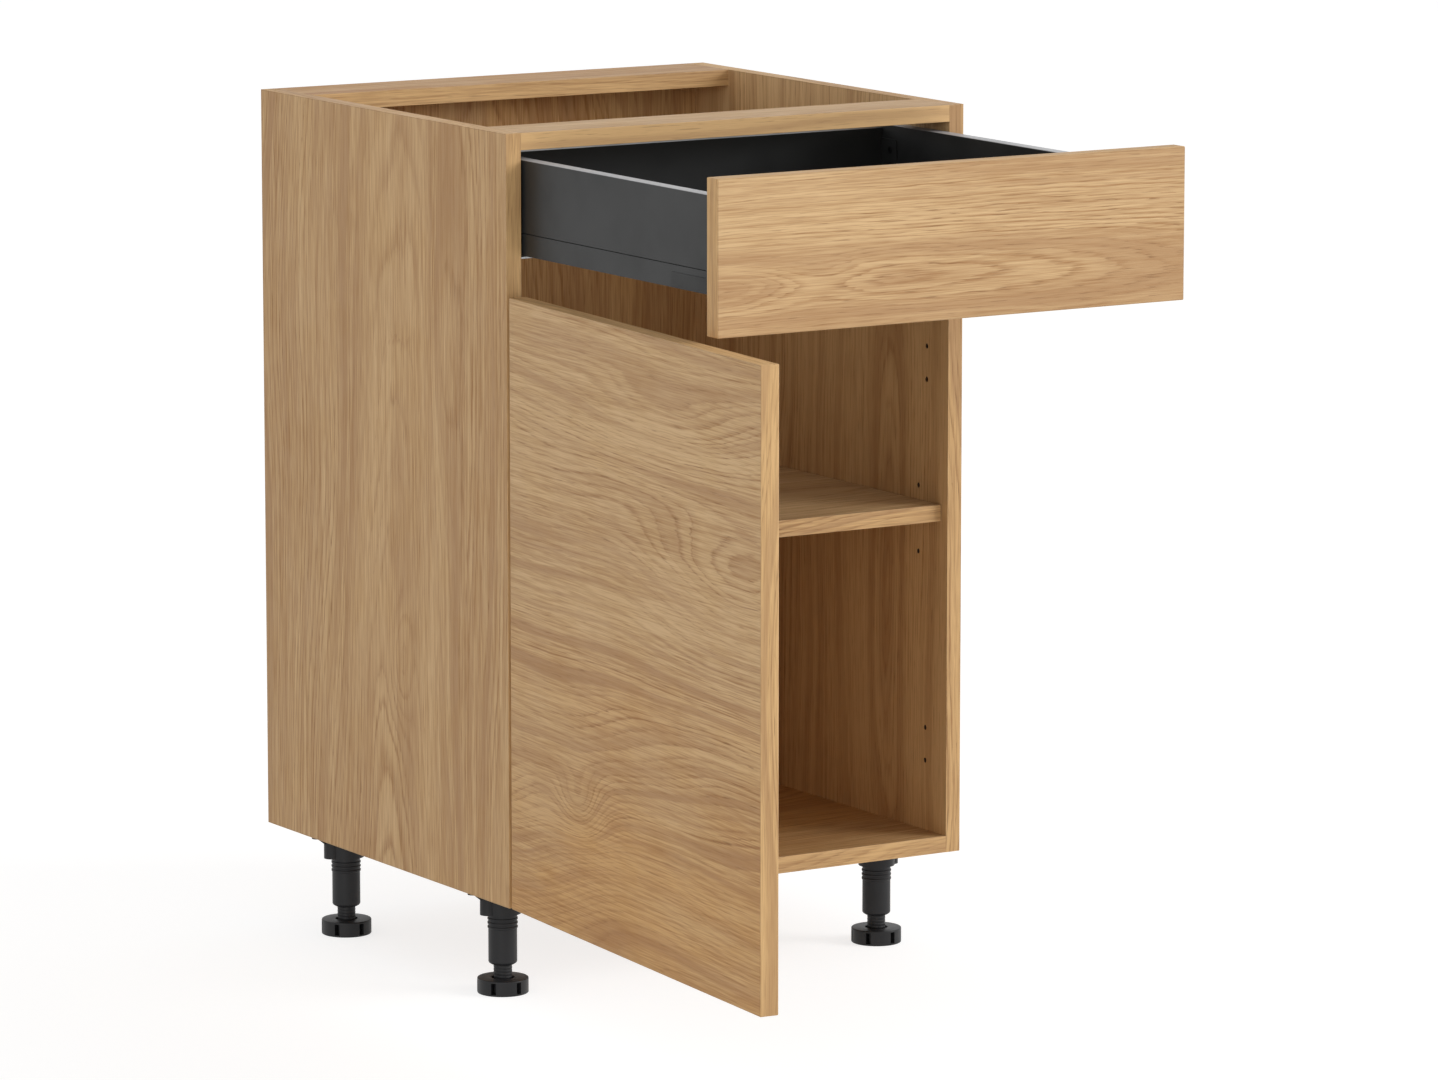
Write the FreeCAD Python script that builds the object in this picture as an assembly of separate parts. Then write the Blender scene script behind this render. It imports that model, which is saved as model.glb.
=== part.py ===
import FreeCAD, Part
import math
import os
from FreeCAD import Vector

# A kitchen base cabinet with one drawer over one left-hung door, on four levelling legs.
# Millimetres. X runs right, Y runs to the back, Z runs up. The origin is on the wall plane, in
# the middle of the width and level with the carcass underside. The drawer stands part way out
# and the door stands fully open.

# Carcass boards
WIDTH = 500.0
DEPTH = 470.0
HEIGHT = 720.0
BOARD = 16.0
EDGE_ROUND = 0.5
STRAIGHT_SHARE = 0.999
FRONT_RAIL_WIDTH = 62.0
REAR_RAIL_WIDTH = 74.0
OVERRUN = 5.0

# Back panel and its groove
BACK_BOARD = 3.0
BACK_INSET = 8.0
GROOVE_DEPTH = 7.0
GROOVE_PLAY = 0.15
GROOVE_END_PLAY = 0.5

# Knock-down fittings in the board ends
BOLT_THREAD_RADIUS = 2.45
BOLT_THREAD_LENGTH = 10.5
BOLT_SHANK_RADIUS = 3.4
BOLT_SHANK_LENGTH = 18.0
BOLT_NECK_RADIUS = 2.2
BOLT_NECK_LENGTH = 3.5
BOLT_HEAD_LENGTH = 3.5
CAM_RADIUS = 7.3
CAM_HEIGHT = 12.6
CAM_HOOK_PLAY = 0.3
CAM_CROSS_WIDTH = 1.6
CAM_CROSS_DEPTH = 2.0
DOWEL_RADIUS = 3.95
DOWEL_LENGTH = 30.0
DOWEL_CHAMFER = 0.8
FITTING_PLAY = 0.05
BORE_PLAY = 0.6
BORE_END_PLAY = 1.0
BOTTOM_BOLT_FROM_EDGE = 37.0
BOTTOM_DOWEL_PAST_LEG = 12.0
RAIL_BOLT_SHARE = 0.3
RAIL_DOWEL_SHARE = 0.68

# Shelf and its pins
SHELF_PIN_SHARE = 0.558
SHELF_PIN_RADIUS = 2.45
SHELF_PIN_SEAT = 8.0
SHELF_PIN_REACH = 7.5
SHELF_PIN_COLLAR_RADIUS = 3.6
SHELF_PIN_COLLAR = 0.7
SHELF_PIN_CHAMFER = 0.6
SHELF_END_GAP = 1.0
SHELF_SETBACK = 10.0
SHELF_BACK_GAP = 4.0
PIN_ROW_FRONT = 50.5
PIN_ROW_FROM_BACK = 68.0
SYSTEM_PITCH = 32.0

# Fronts
FRONT_BOARD = 18.0
FRONT_ROUND = 1.0
FRONT_STANDOFF = 2.0
SIDE_REVEAL = 1.5
TOP_REVEAL = 6.0
FRONT_GAP = 4.0
DRAWER_FRONT_HEIGHT = 140.0
DOOR_OPEN_DEG = 94.5

# Door hinge axis, measured from the closed door's hinge edge and the carcass front
PIVOT_IN_FROM_EDGE = 6.45
PIVOT_OUT_FROM_CARCASS = 11.5
HINGE_END_DISTANCE = 100.0

# Hinge cup
CUP_RADIUS = 17.4
CUP_WALL = 0.6
CUP_EDGE_DISTANCE = 3.1
CUP_DEPTH = 12.3
CUP_PLAY = 0.1
CUP_FLANGE = 1.0
CUP_FLANGE_HALF_HEIGHT = 31.0
CUP_FLANGE_WIDTH = 33.0
CUP_FLANGE_CORNER = 7.0
CUP_SCREW_SPACING = 48.0
CUP_SCREW_OFFSET = 6.0
CUP_LUG_THICKNESS = 6.0
CUP_LUG_BEFORE_PIN = 2.0
CUP_LUG_AFTER_PIN = 3.0

# Hinge pin, arm and mounting plate
PIN_RADIUS = 1.0
PIN_HALF_LENGTH = 8.6
PIN_PLAY = 0.03
KNUCKLE_RADIUS = 1.9
NECK_SHEET = 2.4
NECK_HALF_HEIGHT = 4.5
NECK_REACH = 13.4
NECK_STEP_START = 5.0
NECK_STEP_END = 9.0
ARM_SHEET = 1.2
ARM_HALF_HEIGHT = 8.0
ARM_START = 8.0
ARM_END = 66.0
ARM_NOSE = 5.0
ARM_FLANGE_FOOT = 3.0
ARM_PLATE_GAP = 0.4
PLATE_BASE = 2.0
PLATE_START = 12.0
PLATE_END = 60.0
PLATE_HALF_HEIGHT = 7.5
PLATE_RAIL_HEIGHT = 6.0
PLATE_RAIL_INSET = 2.0
PLATE_RAIL_HALF_HEIGHT = 5.0
PLATE_WING_RADIUS = 6.0
PLATE_SCREW_SETBACK = 37.0
HINGE_CHAMFER = 0.8

# Countersunk screws
SCREW_RADIUS = 1.9
SCREW_HEAD_RADIUS = 3.6
SCREW_HEAD_DEPTH = 1.5
SCREW_LENGTH = 12.5
SCREW_PLAY = 0.1
SYSTEM_HOLE_RADIUS = 2.5
SYSTEM_HOLE_DEPTH = 12.0
PILOT_PLAY = 0.05
PILOT_END_PLAY = 0.5
ADJUSTER_RADIUS = 2.2
ADJUSTER_HEAD_RADIUS = 3.4
ADJUSTER_HEAD = 1.4
ADJUSTER_SHARES = (0.3, 0.75)

# Drawer runners. Runner sections are given from the panel's inner face.
DRAWER_OUT = 344.0
MIDDLE_OUT_SHARE = 0.5
RUNNER_LIFT = 30.0
RUNNER_SETBACK = 4.0
RUNNER_END_GAP = 5.0
RUNNER_SHEET = 1.5
RUNNER_WEB_HEIGHT = 46.0
RUNNER_FOOT_WIDTH = 44.0
RUNNER_LIP = 8.0
RUNNER_LIP_GAP = 1.4
RUNNER_BEND = 1.0
RUNNER_SCREW_HEIGHT = 34.0
RUNNER_SCREW_SHARES = (0.075, 0.58, 0.94)
RUNNING_GAP = 0.5
MIDDLE_HEIGHT = 12.0
MIDDLE_INSET = 10.9
MIDDLE_SHORTER = 30.0
MIDDLE_START = 16.0
DRAWER_RUNNER_SKIRT = 12.5
DRAWER_RUNNER_SHORTER = 12.0

# Drawer sides, cover bands and caps
DRAWER_SHEET = 1.0
DRAWER_SIDE_GAP = 2.5
DRAWER_SIDE_THICKNESS = 13.0
DRAWER_SIDE_HEIGHT = 75.0
DRAWER_SIDE_BEND = 0.8
DRAWER_FOOT_WIDTH = 18.0
DRAWER_FOOT_SHEET = 1.5
BAND_SEAM = 0.5
BAND_DROP = 13.0
BAND_ABOVE_FOOT = 7.5
CAP_LENGTH = 87.0
CAP_HEIGHT = 14.0
CAP_THICKNESS = 0.6
CAP_CORNER = 2.0

# Drawer bottom, back and fixings
DRAWER_BOTTOM_PLAY = 0.25
DRAWER_BACK_SHEET = 1.2
DRAWER_BACK_INSET = 12.0
DRAWER_BACK_FOLD = 11.0
DRAWER_BACK_LIP = 8.0
DRAWER_BACK_DROP = 4.0
DRAWER_BACK_END_GAP = 0.2
DRAWER_TAB_LENGTH = 26.0
DRAWER_TAB_RISE = 8.0
DRAWER_TAB_HEIGHT = 36.0
DRAWER_TAB_SHARES = (0.3, 0.72)
TAB_SCREW_INSET = 16.0
TAB_SCREW_HEAD = 1.0
TAB_SCREW_LENGTH = 6.0
BOTTOM_SCREW_SHARES = (0.1, 0.5, 0.85)
BOTTOM_SCREW_LENGTH = 11.0
BRACKET_SHEET = 2.0
BRACKET_PLAY = 0.5
BRACKET_TONGUE = 48.0
BRACKET_CORNER = 3.0
BRACKET_SCREW_SHARES = (0.2, 0.8)
BRACKET_SCREW_LENGTH = 13.0

# Levelling legs
LEG_HEIGHT = 100.0
LEG_FROM_SIDE = 41.0
LEG_FROM_FRONT = 83.5
LEG_FROM_BACK = 82.5
SOCKET_FLANGE = 3.0
SOCKET_FLANGE_RADIUS = 27.0
SOCKET_TIP_RADIUS = 5.0
SOCKET_TIP_DISTANCE = 32.0
SOCKET_DEPTH = 24.0
SOCKET_RADIUS = 17.5
SOCKET_DRAFT = 0.7
SOCKET_LOBE_RADIUS = 8.0
SOCKET_LOBE_REACH = 23.3
SOCKET_RIB = 2.0
SOCKET_RIB_SHARE = 0.67
SOCKET_ROOF = 3.5
SOCKET_SCREW_CIRCLE = 22.5
SOCKET_SCREW_ANGLES_DEG = (50.0, 130.0, 230.0, 310.0)
SOCKET_PLAY = 0.15
COLUMN_RADIUS = 13.6
COLUMN_SPIGOT_RADIUS = 13.0
COLUMN_RING_RADIUS = 14.3
COLUMN_RING_LEVELS = (29.0, 33.0, 37.0)
COLUMN_RING = 1.4
COLUMN_ABOVE_FOOT = 13.0
COLUMN_ROUND = 2.5
COLUMN_TOP_GAP = 0.3
COLUMN_CEILING = 3.0
SPINDLE_RADIUS = 8.8
SPINDLE_PLAY = 0.25
SPINDLE_IN_COLUMN = 30.5
FOOT_RADIUS = 24.2
FOOT_HEIGHT = 14.5
FOOT_ROUND = 2.2
FOOT_BEVEL_SHARE = 0.3
FOOT_RECESS_RADIUS = 11.5
FOOT_RECESS = 1.5
FOOT_SLOTS = 6
FOOT_SLOT_WIDTH = 4.0
FOOT_SLOT_DEPTH = 2.4
FOOT_SLOT_MARGIN = 3.2
FOOT_SLOT_START_DEG = 38.5

# Places that follow from the sizes above
HALF_WIDTH = WIDTH / 2
INNER_HALF = HALF_WIDTH - BOARD
FRONT = -DEPTH
BACK = 0
BACK_FACE = BACK - BACK_INSET - BACK_BOARD
RAIL_UNDERSIDE = HEIGHT - BOARD
DRAWER_FRONT_BOTTOM = HEIGHT - TOP_REVEAL - DRAWER_FRONT_HEIGHT
DOOR_HEIGHT = DRAWER_FRONT_BOTTOM - FRONT_GAP
SHELF_PIN_HEIGHT = DOOR_HEIGHT * SHELF_PIN_SHARE
SHELF_UNDERSIDE = SHELF_PIN_HEIGHT + SHELF_PIN_RADIUS
PIN_ROWS = (FRONT + PIN_ROW_FRONT, BACK - PIN_ROW_FROM_BACK)
FRONTS_INNER = FRONT - FRONT_STANDOFF
DOOR_EDGE = -HALF_WIDTH + SIDE_REVEAL
PIVOT_X = DOOR_EDGE + PIVOT_IN_FROM_EDGE
PIVOT_Y = FRONT - PIVOT_OUT_FROM_CARCASS
CUP_X = DOOR_EDGE + CUP_EDGE_DISTANCE + CUP_RADIUS
HINGE_LEVELS = {"lower": HINGE_END_DISTANCE, "upper": DOOR_HEIGHT - HINGE_END_DISTANCE}
ARM_WEB = PLATE_BASE + PLATE_RAIL_HEIGHT + ARM_PLATE_GAP
RUNNER_LENGTH = BACK_FACE - FRONT - RUNNER_SETBACK - RUNNER_END_GAP
RUNNER_BOTTOM = DRAWER_FRONT_BOTTOM + RUNNER_LIFT
MIDDLE_BOTTOM = RUNNER_BOTTOM + RUNNER_SHEET + RUNNING_GAP
DRAWER_BOX_BOTTOM = MIDDLE_BOTTOM + MIDDLE_HEIGHT + RUNNING_GAP + RUNNER_SHEET
MIDDLE_WIDTH = RUNNER_FOOT_WIDTH - MIDDLE_INSET - RUNNER_SHEET * 2 - RUNNING_GAP - RUNNER_LIP_GAP
DRAWER_BOARD_BOTTOM = DRAWER_BOX_BOTTOM + DRAWER_FOOT_SHEET
DRAWER_SIDE_TOP = DRAWER_BOX_BOTTOM + DRAWER_SIDE_HEIGHT
BAND_TOP = DRAWER_BOX_BOTTOM + BAND_ABOVE_FOOT
DRAWER_INNER_FACE = DRAWER_SIDE_GAP + DRAWER_SIDE_THICKNESS
DRAWER_BACK_FACE = FRONTS_INNER + RUNNER_LENGTH - DRAWER_BACK_INSET
COLUMN_BOTTOM = LEG_HEIGHT - FOOT_HEIGHT - COLUMN_ABOVE_FOOT
SPINDLE_TOP = COLUMN_BOTTOM - SPINDLE_IN_COLUMN


def block(x0, x1, y0, y1, z0, z1):
    return Part.makeBox(x1 - x0, y1 - y0, z1 - z0, Vector(x0, y0, z0))


def rod(start, direction, radius, length):
    return Part.makeCylinder(radius, length, start, direction)


def rounded(shape, radius, chosen=None):
    edges = [edge for edge in shape.Edges if chosen is None or chosen(edge)]
    return shape.makeFillet(radius, edges)


def banded(board, along):
    """A board with its glued-on front edge band, whose two long edges are rounded."""
    front = board.BoundBox.YMin + EDGE_ROUND / 2
    return rounded(board, EDGE_ROUND, lambda e: e.BoundBox.YMax < front and runs_along(e, along))


def runs_along(edge, axis):
    start, end = edge.Vertexes[0].Point, edge.Vertexes[-1].Point
    step = end - start
    return step.Length > 0 and abs(step.dot(axis)) > step.Length * STRAIGHT_SHARE


def prism(points, along):
    outline = Part.makePolygon(points + points[:1])
    return Part.Face(outline).extrude(along)


def turned(points, centre):
    outline = Part.makePolygon([Vector(r, 0, z) for r, z in points + points[:1]])
    solid = Part.Face(outline).revolve(Vector(0, 0, 0), Vector(0, 0, 1), 360)
    solid.translate(centre)
    return solid


def mirrored(shape):
    return shape.mirror(Vector(0, 0, 0), Vector(1, 0, 0))


def both_sides(pieces):
    return Part.makeCompound(pieces + [mirrored(piece) for piece in pieces])


def grown(pieces):
    shape = pieces[0]
    for piece in pieces[1:]:
        shape = shape.fuse(piece)
    return shape.removeSplitter()


def cut_away(shape, tools):
    for tool in tools:
        shape = shape.cut(tool)
    return shape


def save(name, shape):
    shape.exportStep("parts/" + name + ".step")


def folded_strip(path, sheet):
    """The closed outline, as (a, b) pairs, of a sheet whose left side follows the path."""
    offset = []
    last = len(path) - 1
    for place, (a, b) in enumerate(path):
        before = path[max(place - 1, 0)]
        after = path[min(place + 1, last)]
        if place == 0:
            before = (a * 2 - after[0], b * 2 - after[1])
        if place == last:
            after = (a * 2 - before[0], b * 2 - before[1])
        first = math.atan2(b - before[1], a - before[0])
        second = math.atan2(after[1] - b, after[0] - a)
        half_turn = (second - first) / 2
        reach = sheet / math.cos(half_turn)
        aim = first + half_turn - math.pi / 2
        offset.append((a + reach * math.cos(aim), b + reach * math.sin(aim)))
    return path + offset[::-1]


def folded_sheet(path, sheet, start, length, bend):
    """A sheet folded along Y: the path is in X and Z, and every corner gets the bend."""
    outline = folded_strip(path, sheet)
    solid = prism([Vector(x, start, z) for x, z in outline], Vector(0, length, 0))
    inside = set(path[1:-1]) | set(outline[len(path) + 1:-1])

    def is_fold(edge):
        point = edge.Vertexes[0].Point
        return runs_along(edge, Vector(0, 1, 0)) and any(
            math.hypot(point.x - x, point.z - z) < bend / 2 for x, z in inside
        )

    return rounded(solid, bend, is_fold)


def countersunk(start, inward, length, play=0):
    """A flat-headed screw, or with play the hole for its head and shank."""
    head = Part.makeCone(SCREW_HEAD_RADIUS + play, SCREW_RADIUS + play, SCREW_HEAD_DEPTH, start, inward)
    shank = rod(start, inward, SCREW_RADIUS + play, length)
    return head.fuse(shank).removeSplitter()


def fitting_rows():
    """(bolt places, dowel places, board underside) of the bottom and of the two top rails."""
    past_leg = SOCKET_FLANGE_RADIUS + BOTTOM_DOWEL_PAST_LEG
    bottom_bolts = [FRONT + BOTTOM_BOLT_FROM_EDGE, BACK - BOTTOM_BOLT_FROM_EDGE]
    bottom_dowels = [FRONT + LEG_FROM_FRONT + past_leg, BACK - LEG_FROM_BACK - past_leg]
    front_bolt = FRONT + FRONT_RAIL_WIDTH * RAIL_BOLT_SHARE
    front_dowel = FRONT + FRONT_RAIL_WIDTH * RAIL_DOWEL_SHARE
    rear_start = BACK - REAR_RAIL_WIDTH
    rear_bolt = rear_start + REAR_RAIL_WIDTH * RAIL_BOLT_SHARE
    rear_dowel = rear_start + REAR_RAIL_WIDTH * RAIL_DOWEL_SHARE
    return {
        "bottom": (bottom_bolts, bottom_dowels, 0),
        "front": ([front_bolt], [front_dowel], RAIL_UNDERSIDE),
        "rear": ([rear_bolt], [rear_dowel], RAIL_UNDERSIDE),
    }


def cam_centre():
    return -INNER_HALF + BOLT_SHANK_LENGTH + BOLT_NECK_LENGTH + BOLT_HEAD_LENGTH / 2


def board_end_bores(row):
    bolts, dowels, underside = fitting_rows()[row]
    level = underside + BOARD / 2
    reach = cam_centre() + INNER_HALF
    inner_half_dowel = DOWEL_LENGTH - BOLT_THREAD_LENGTH + BORE_END_PLAY
    bores = []
    for y in bolts:
        start = Vector(-INNER_HALF, y, level)
        bores.append(rod(start, Vector(1, 0, 0), BOLT_SHANK_RADIUS + BORE_PLAY, reach))
        pocket = Vector(cam_centre(), y, underside)
        bores.append(rod(pocket, Vector(0, 0, 1), CAM_RADIUS + FITTING_PLAY, CAM_HEIGHT + BORE_PLAY))
    for y in dowels:
        start = Vector(-INNER_HALF, y, level)
        bores.append(rod(start, Vector(1, 0, 0), DOWEL_RADIUS + FITTING_PLAY, inner_half_dowel))
    return bores + [mirrored(bore) for bore in bores]


def back_groove(x0, x1, z0, z1):
    return block(x0, x1, BACK_FACE - GROOVE_PLAY, BACK_FACE + BACK_BOARD + GROOVE_PLAY, z0, z1)


def board_screw_hole(y, z, radius, depth):
    return rod(Vector(-INNER_HALF, y, z), Vector(-1, 0, 0), radius, depth)


def side_panel(hinge_hole_radius):
    panel = banded(block(-HALF_WIDTH, -INNER_HALF, FRONT, BACK, 0, HEIGHT), Vector(0, 0, 1))
    tools = [back_groove(-INNER_HALF - GROOVE_DEPTH, -INNER_HALF + OVERRUN, -OVERRUN, HEIGHT + OVERRUN)]
    for bolts, dowels, underside in fitting_rows().values():
        level = underside + BOARD / 2
        depth = BOLT_THREAD_LENGTH + BORE_END_PLAY
        tools += [board_screw_hole(y, level, BOLT_THREAD_RADIUS + FITTING_PLAY, depth) for y in bolts]
        tools += [board_screw_hole(y, level, DOWEL_RADIUS + FITTING_PLAY, depth) for y in dowels]
    for y, z in hinge_screw_places():
        tools.append(board_screw_hole(y, z, hinge_hole_radius, SYSTEM_HOLE_DEPTH))
    for y, z in shelf_hole_places():
        tools.append(board_screw_hole(y, z, SYSTEM_HOLE_RADIUS, SYSTEM_HOLE_DEPTH))
    for y, z in runner_screw_places():
        depth = SCREW_LENGTH - RUNNER_SHEET + PILOT_END_PLAY
        tools.append(board_screw_hole(y, z, SCREW_RADIUS + PILOT_PLAY, depth))
    return cut_away(panel, tools)


def bottom_panel():
    panel = banded(block(-INNER_HALF, INNER_HALF, FRONT, BACK, 0, BOARD), Vector(1, 0, 0))
    groove = back_groove(-INNER_HALF - OVERRUN, INNER_HALF + OVERRUN, BOARD - GROOVE_DEPTH, BOARD + OVERRUN)
    pilots = []
    for x, y, outward, _ in leg_places().values():
        pilots += socket_screws(x, y, outward, PILOT_PLAY, PILOT_END_PLAY)
    return cut_away(panel, board_end_bores("bottom") + [groove] + pilots)


def top_rail(row, start, width):
    rail = block(-INNER_HALF, INNER_HALF, start, start + width, RAIL_UNDERSIDE, HEIGHT)
    return cut_away(banded(rail, Vector(1, 0, 0)), board_end_bores(row))


def rear_top_rail():
    rail = top_rail("rear", BACK - REAR_RAIL_WIDTH, REAR_RAIL_WIDTH)
    span = INNER_HALF + OVERRUN
    return rail.cut(back_groove(-span, span, RAIL_UNDERSIDE - OVERRUN, RAIL_UNDERSIDE + GROOVE_DEPTH))


def back_panel():
    edge = GROOVE_DEPTH - GROOVE_END_PLAY
    half = INNER_HALF + edge
    return block(-half, half, BACK_FACE, BACK_FACE + BACK_BOARD, BOARD - edge, RAIL_UNDERSIDE + edge)


def cam_bolt(y, level):
    thread, shank, neck = BOLT_THREAD_RADIUS, BOLT_SHANK_RADIUS, BOLT_NECK_RADIUS
    tip, shank_end = -BOLT_THREAD_LENGTH, BOLT_SHANK_LENGTH
    neck_end = shank_end + BOLT_NECK_LENGTH
    head_end = neck_end + BOLT_HEAD_LENGTH
    points = [(0, tip), (thread, tip + thread), (thread, 0), (shank, 0), (shank, shank_end)]
    points += [(neck, shank_end), (neck, neck_end), (shank, neck_end), (shank, head_end), (0, head_end)]
    bolt = turned(points, Vector(0, 0, 0))
    bolt.rotate(Vector(0, 0, 0), Vector(0, 1, 0), 90)
    bolt.translate(Vector(-INNER_HALF, y, level))
    return bolt


def cam_lock(y, underside):
    centre = Vector(cam_centre(), y, underside)
    level = Vector(cam_centre(), y, underside + BOARD / 2)
    reach = CAM_RADIUS - CAM_CROSS_WIDTH
    lock = rod(centre, Vector(0, 0, 1), CAM_RADIUS, CAM_HEIGHT)
    start = level + Vector(BOLT_HEAD_LENGTH, 0, 0)
    hook = rod(start, Vector(-1, 0, 0), BOLT_SHANK_RADIUS + CAM_HOOK_PLAY, CAM_RADIUS * 2)
    slot = CAM_CROSS_WIDTH / 2
    top = underside + CAM_CROSS_DEPTH
    bar = block(centre.x - reach, centre.x + reach, y - slot, y + slot, underside - OVERRUN, top)
    cross = block(centre.x - slot, centre.x + slot, y - reach, y + reach, underside - OVERRUN, top)
    return cut_away(lock, [hook, bar, cross])


def wood_dowel(y, level):
    start = Vector(-INNER_HALF - BOLT_THREAD_LENGTH, y, level)
    dowel = rod(start, Vector(1, 0, 0), DOWEL_RADIUS, DOWEL_LENGTH)
    return dowel.makeChamfer(DOWEL_CHAMFER, [edge for edge in dowel.Edges if edge.Closed])


def knock_down_fittings():
    locks, bolts, dowels = [], [], []
    for bolt_places, dowel_places, underside in fitting_rows().values():
        level = underside + BOARD / 2
        locks += [cam_lock(y, underside) for y in bolt_places]
        bolts += [cam_bolt(y, level) for y in bolt_places]
        dowels += [wood_dowel(y, level) for y in dowel_places]
    return [both_sides(pieces) for pieces in (locks, bolts, dowels)]


def hinge_screw_places():
    places = [place for level in HINGE_LEVELS.values() for place in plate_screw_places(level)]
    return [(place.y, place.z) for place in places]


def shelf_hole_places():
    levels = [SHELF_PIN_HEIGHT + step * SYSTEM_PITCH for step in (-1, 0, 1)]
    return [(row, level) for row in PIN_ROWS for level in levels]


def runner_screw_places():
    start = FRONT + RUNNER_SETBACK
    level = RUNNER_BOTTOM + RUNNER_SCREW_HEIGHT
    return [(start + RUNNER_LENGTH * share, level) for share in RUNNER_SCREW_SHARES]


def shelf():
    half = INNER_HALF - SHELF_END_GAP
    start, end = FRONT + SHELF_SETBACK, BACK_FACE - SHELF_BACK_GAP
    board = block(-half, half, start, end, SHELF_UNDERSIDE, SHELF_UNDERSIDE + BOARD)
    return banded(board, Vector(1, 0, 0))


def shelf_pin(y):
    inner, collar, r = -SHELF_PIN_SEAT, SHELF_PIN_COLLAR, SHELF_PIN_RADIUS
    reach = SHELF_PIN_COLLAR + SHELF_PIN_REACH
    wide, tip = SHELF_PIN_COLLAR_RADIUS, r - SHELF_PIN_CHAMFER
    points = [(0, inner), (r, inner), (r, 0), (wide, 0), (wide, collar), (r, collar)]
    points += [(r, reach - SHELF_PIN_CHAMFER), (tip, reach), (0, reach)]
    pin = turned(points, Vector(0, 0, 0))
    pin.rotate(Vector(0, 0, 0), Vector(0, 1, 0), 90)
    pin.translate(Vector(-INNER_HALF, y, SHELF_PIN_HEIGHT))
    return pin


def shelf_pins():
    pins = [shelf_pin(row) for row in PIN_ROWS]
    return both_sides(pins)


def opened(shape):
    """The closed door's piece, swung to the open stop."""
    shape = shape.copy()
    shape.rotate(Vector(PIVOT_X, PIVOT_Y, 0), Vector(0, 0, 1), -DOOR_OPEN_DEG)
    return shape


def cup_screw_places(level):
    x = CUP_X + CUP_SCREW_OFFSET
    half = CUP_SCREW_SPACING / 2
    return [Vector(x, FRONTS_INNER + CUP_FLANGE, z) for z in (level - half, level + half)]


def cup_screw(place, play=0, end=0):
    return countersunk(place, Vector(0, -1, 0), SCREW_LENGTH + end, play)


def door_panel():
    far_edge = HALF_WIDTH - SIDE_REVEAL
    board = block(DOOR_EDGE, far_edge, FRONTS_INNER - FRONT_BOARD, FRONTS_INNER, 0, DOOR_HEIGHT)
    board = rounded(board, FRONT_ROUND)
    tools = []
    for level in HINGE_LEVELS.values():
        mouth = Vector(CUP_X, FRONTS_INNER, level)
        tools.append(rod(mouth, Vector(0, -1, 0), CUP_RADIUS + CUP_PLAY, CUP_DEPTH + CUP_PLAY))
        tools += [cup_screw(place, PILOT_PLAY, PILOT_END_PLAY) for place in cup_screw_places(level)]
    return opened(cut_away(board, tools))


def hinge_cup(level):
    mouth = Vector(CUP_X, FRONTS_INNER, level)
    bowl = rod(mouth, Vector(0, -1, 0), CUP_RADIUS, CUP_DEPTH)
    above = mouth + Vector(0, CUP_FLANGE + OVERRUN, 0)
    hollow_depth = CUP_DEPTH + CUP_FLANGE + OVERRUN - CUP_WALL
    inner = rod(above, Vector(0, -1, 0), CUP_RADIUS - CUP_WALL, hollow_depth)
    left = CUP_X - CUP_RADIUS
    flange = block(left, left + CUP_FLANGE_WIDTH, FRONTS_INNER, FRONTS_INNER + CUP_FLANGE,
                   level - CUP_FLANGE_HALF_HEIGHT, level + CUP_FLANGE_HALF_HEIGHT)
    flange = rounded(flange, CUP_FLANGE_CORNER, lambda edge: runs_along(edge, Vector(0, 1, 0)))
    shell = bowl.fuse(flange).cut(inner)
    low = NECK_HALF_HEIGHT + RUNNING_GAP
    floor = FRONTS_INNER - CUP_DEPTH
    lugs = []
    for turn in (-1, 1):
        near, far = sorted((level + turn * low, level + turn * (low + CUP_LUG_THICKNESS)))
        lug = block(PIVOT_X - CUP_LUG_BEFORE_PIN, PIVOT_X + CUP_LUG_AFTER_PIN, floor,
                    PIVOT_Y + CUP_LUG_BEFORE_PIN, near, far)
        lugs.append(lug.common(bowl))
    shell = grown([shell] + lugs)
    pin = rod(Vector(PIVOT_X, PIVOT_Y, level - PIN_HALF_LENGTH), Vector(0, 0, 1), PIN_RADIUS + PIN_PLAY,
              PIN_HALF_LENGTH * 2)
    screws = [cup_screw(place, SCREW_PLAY) for place in cup_screw_places(level)]
    return opened(cut_away(shell, [pin] + screws))


def hinge_pins():
    low = -PIN_HALF_LENGTH
    pins = [
        rod(Vector(PIVOT_X, PIVOT_Y, level + low), Vector(0, 0, 1), PIN_RADIUS, PIN_HALF_LENGTH * 2)
        for level in HINGE_LEVELS.values()
    ]
    return Part.makeCompound(pins)


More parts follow.
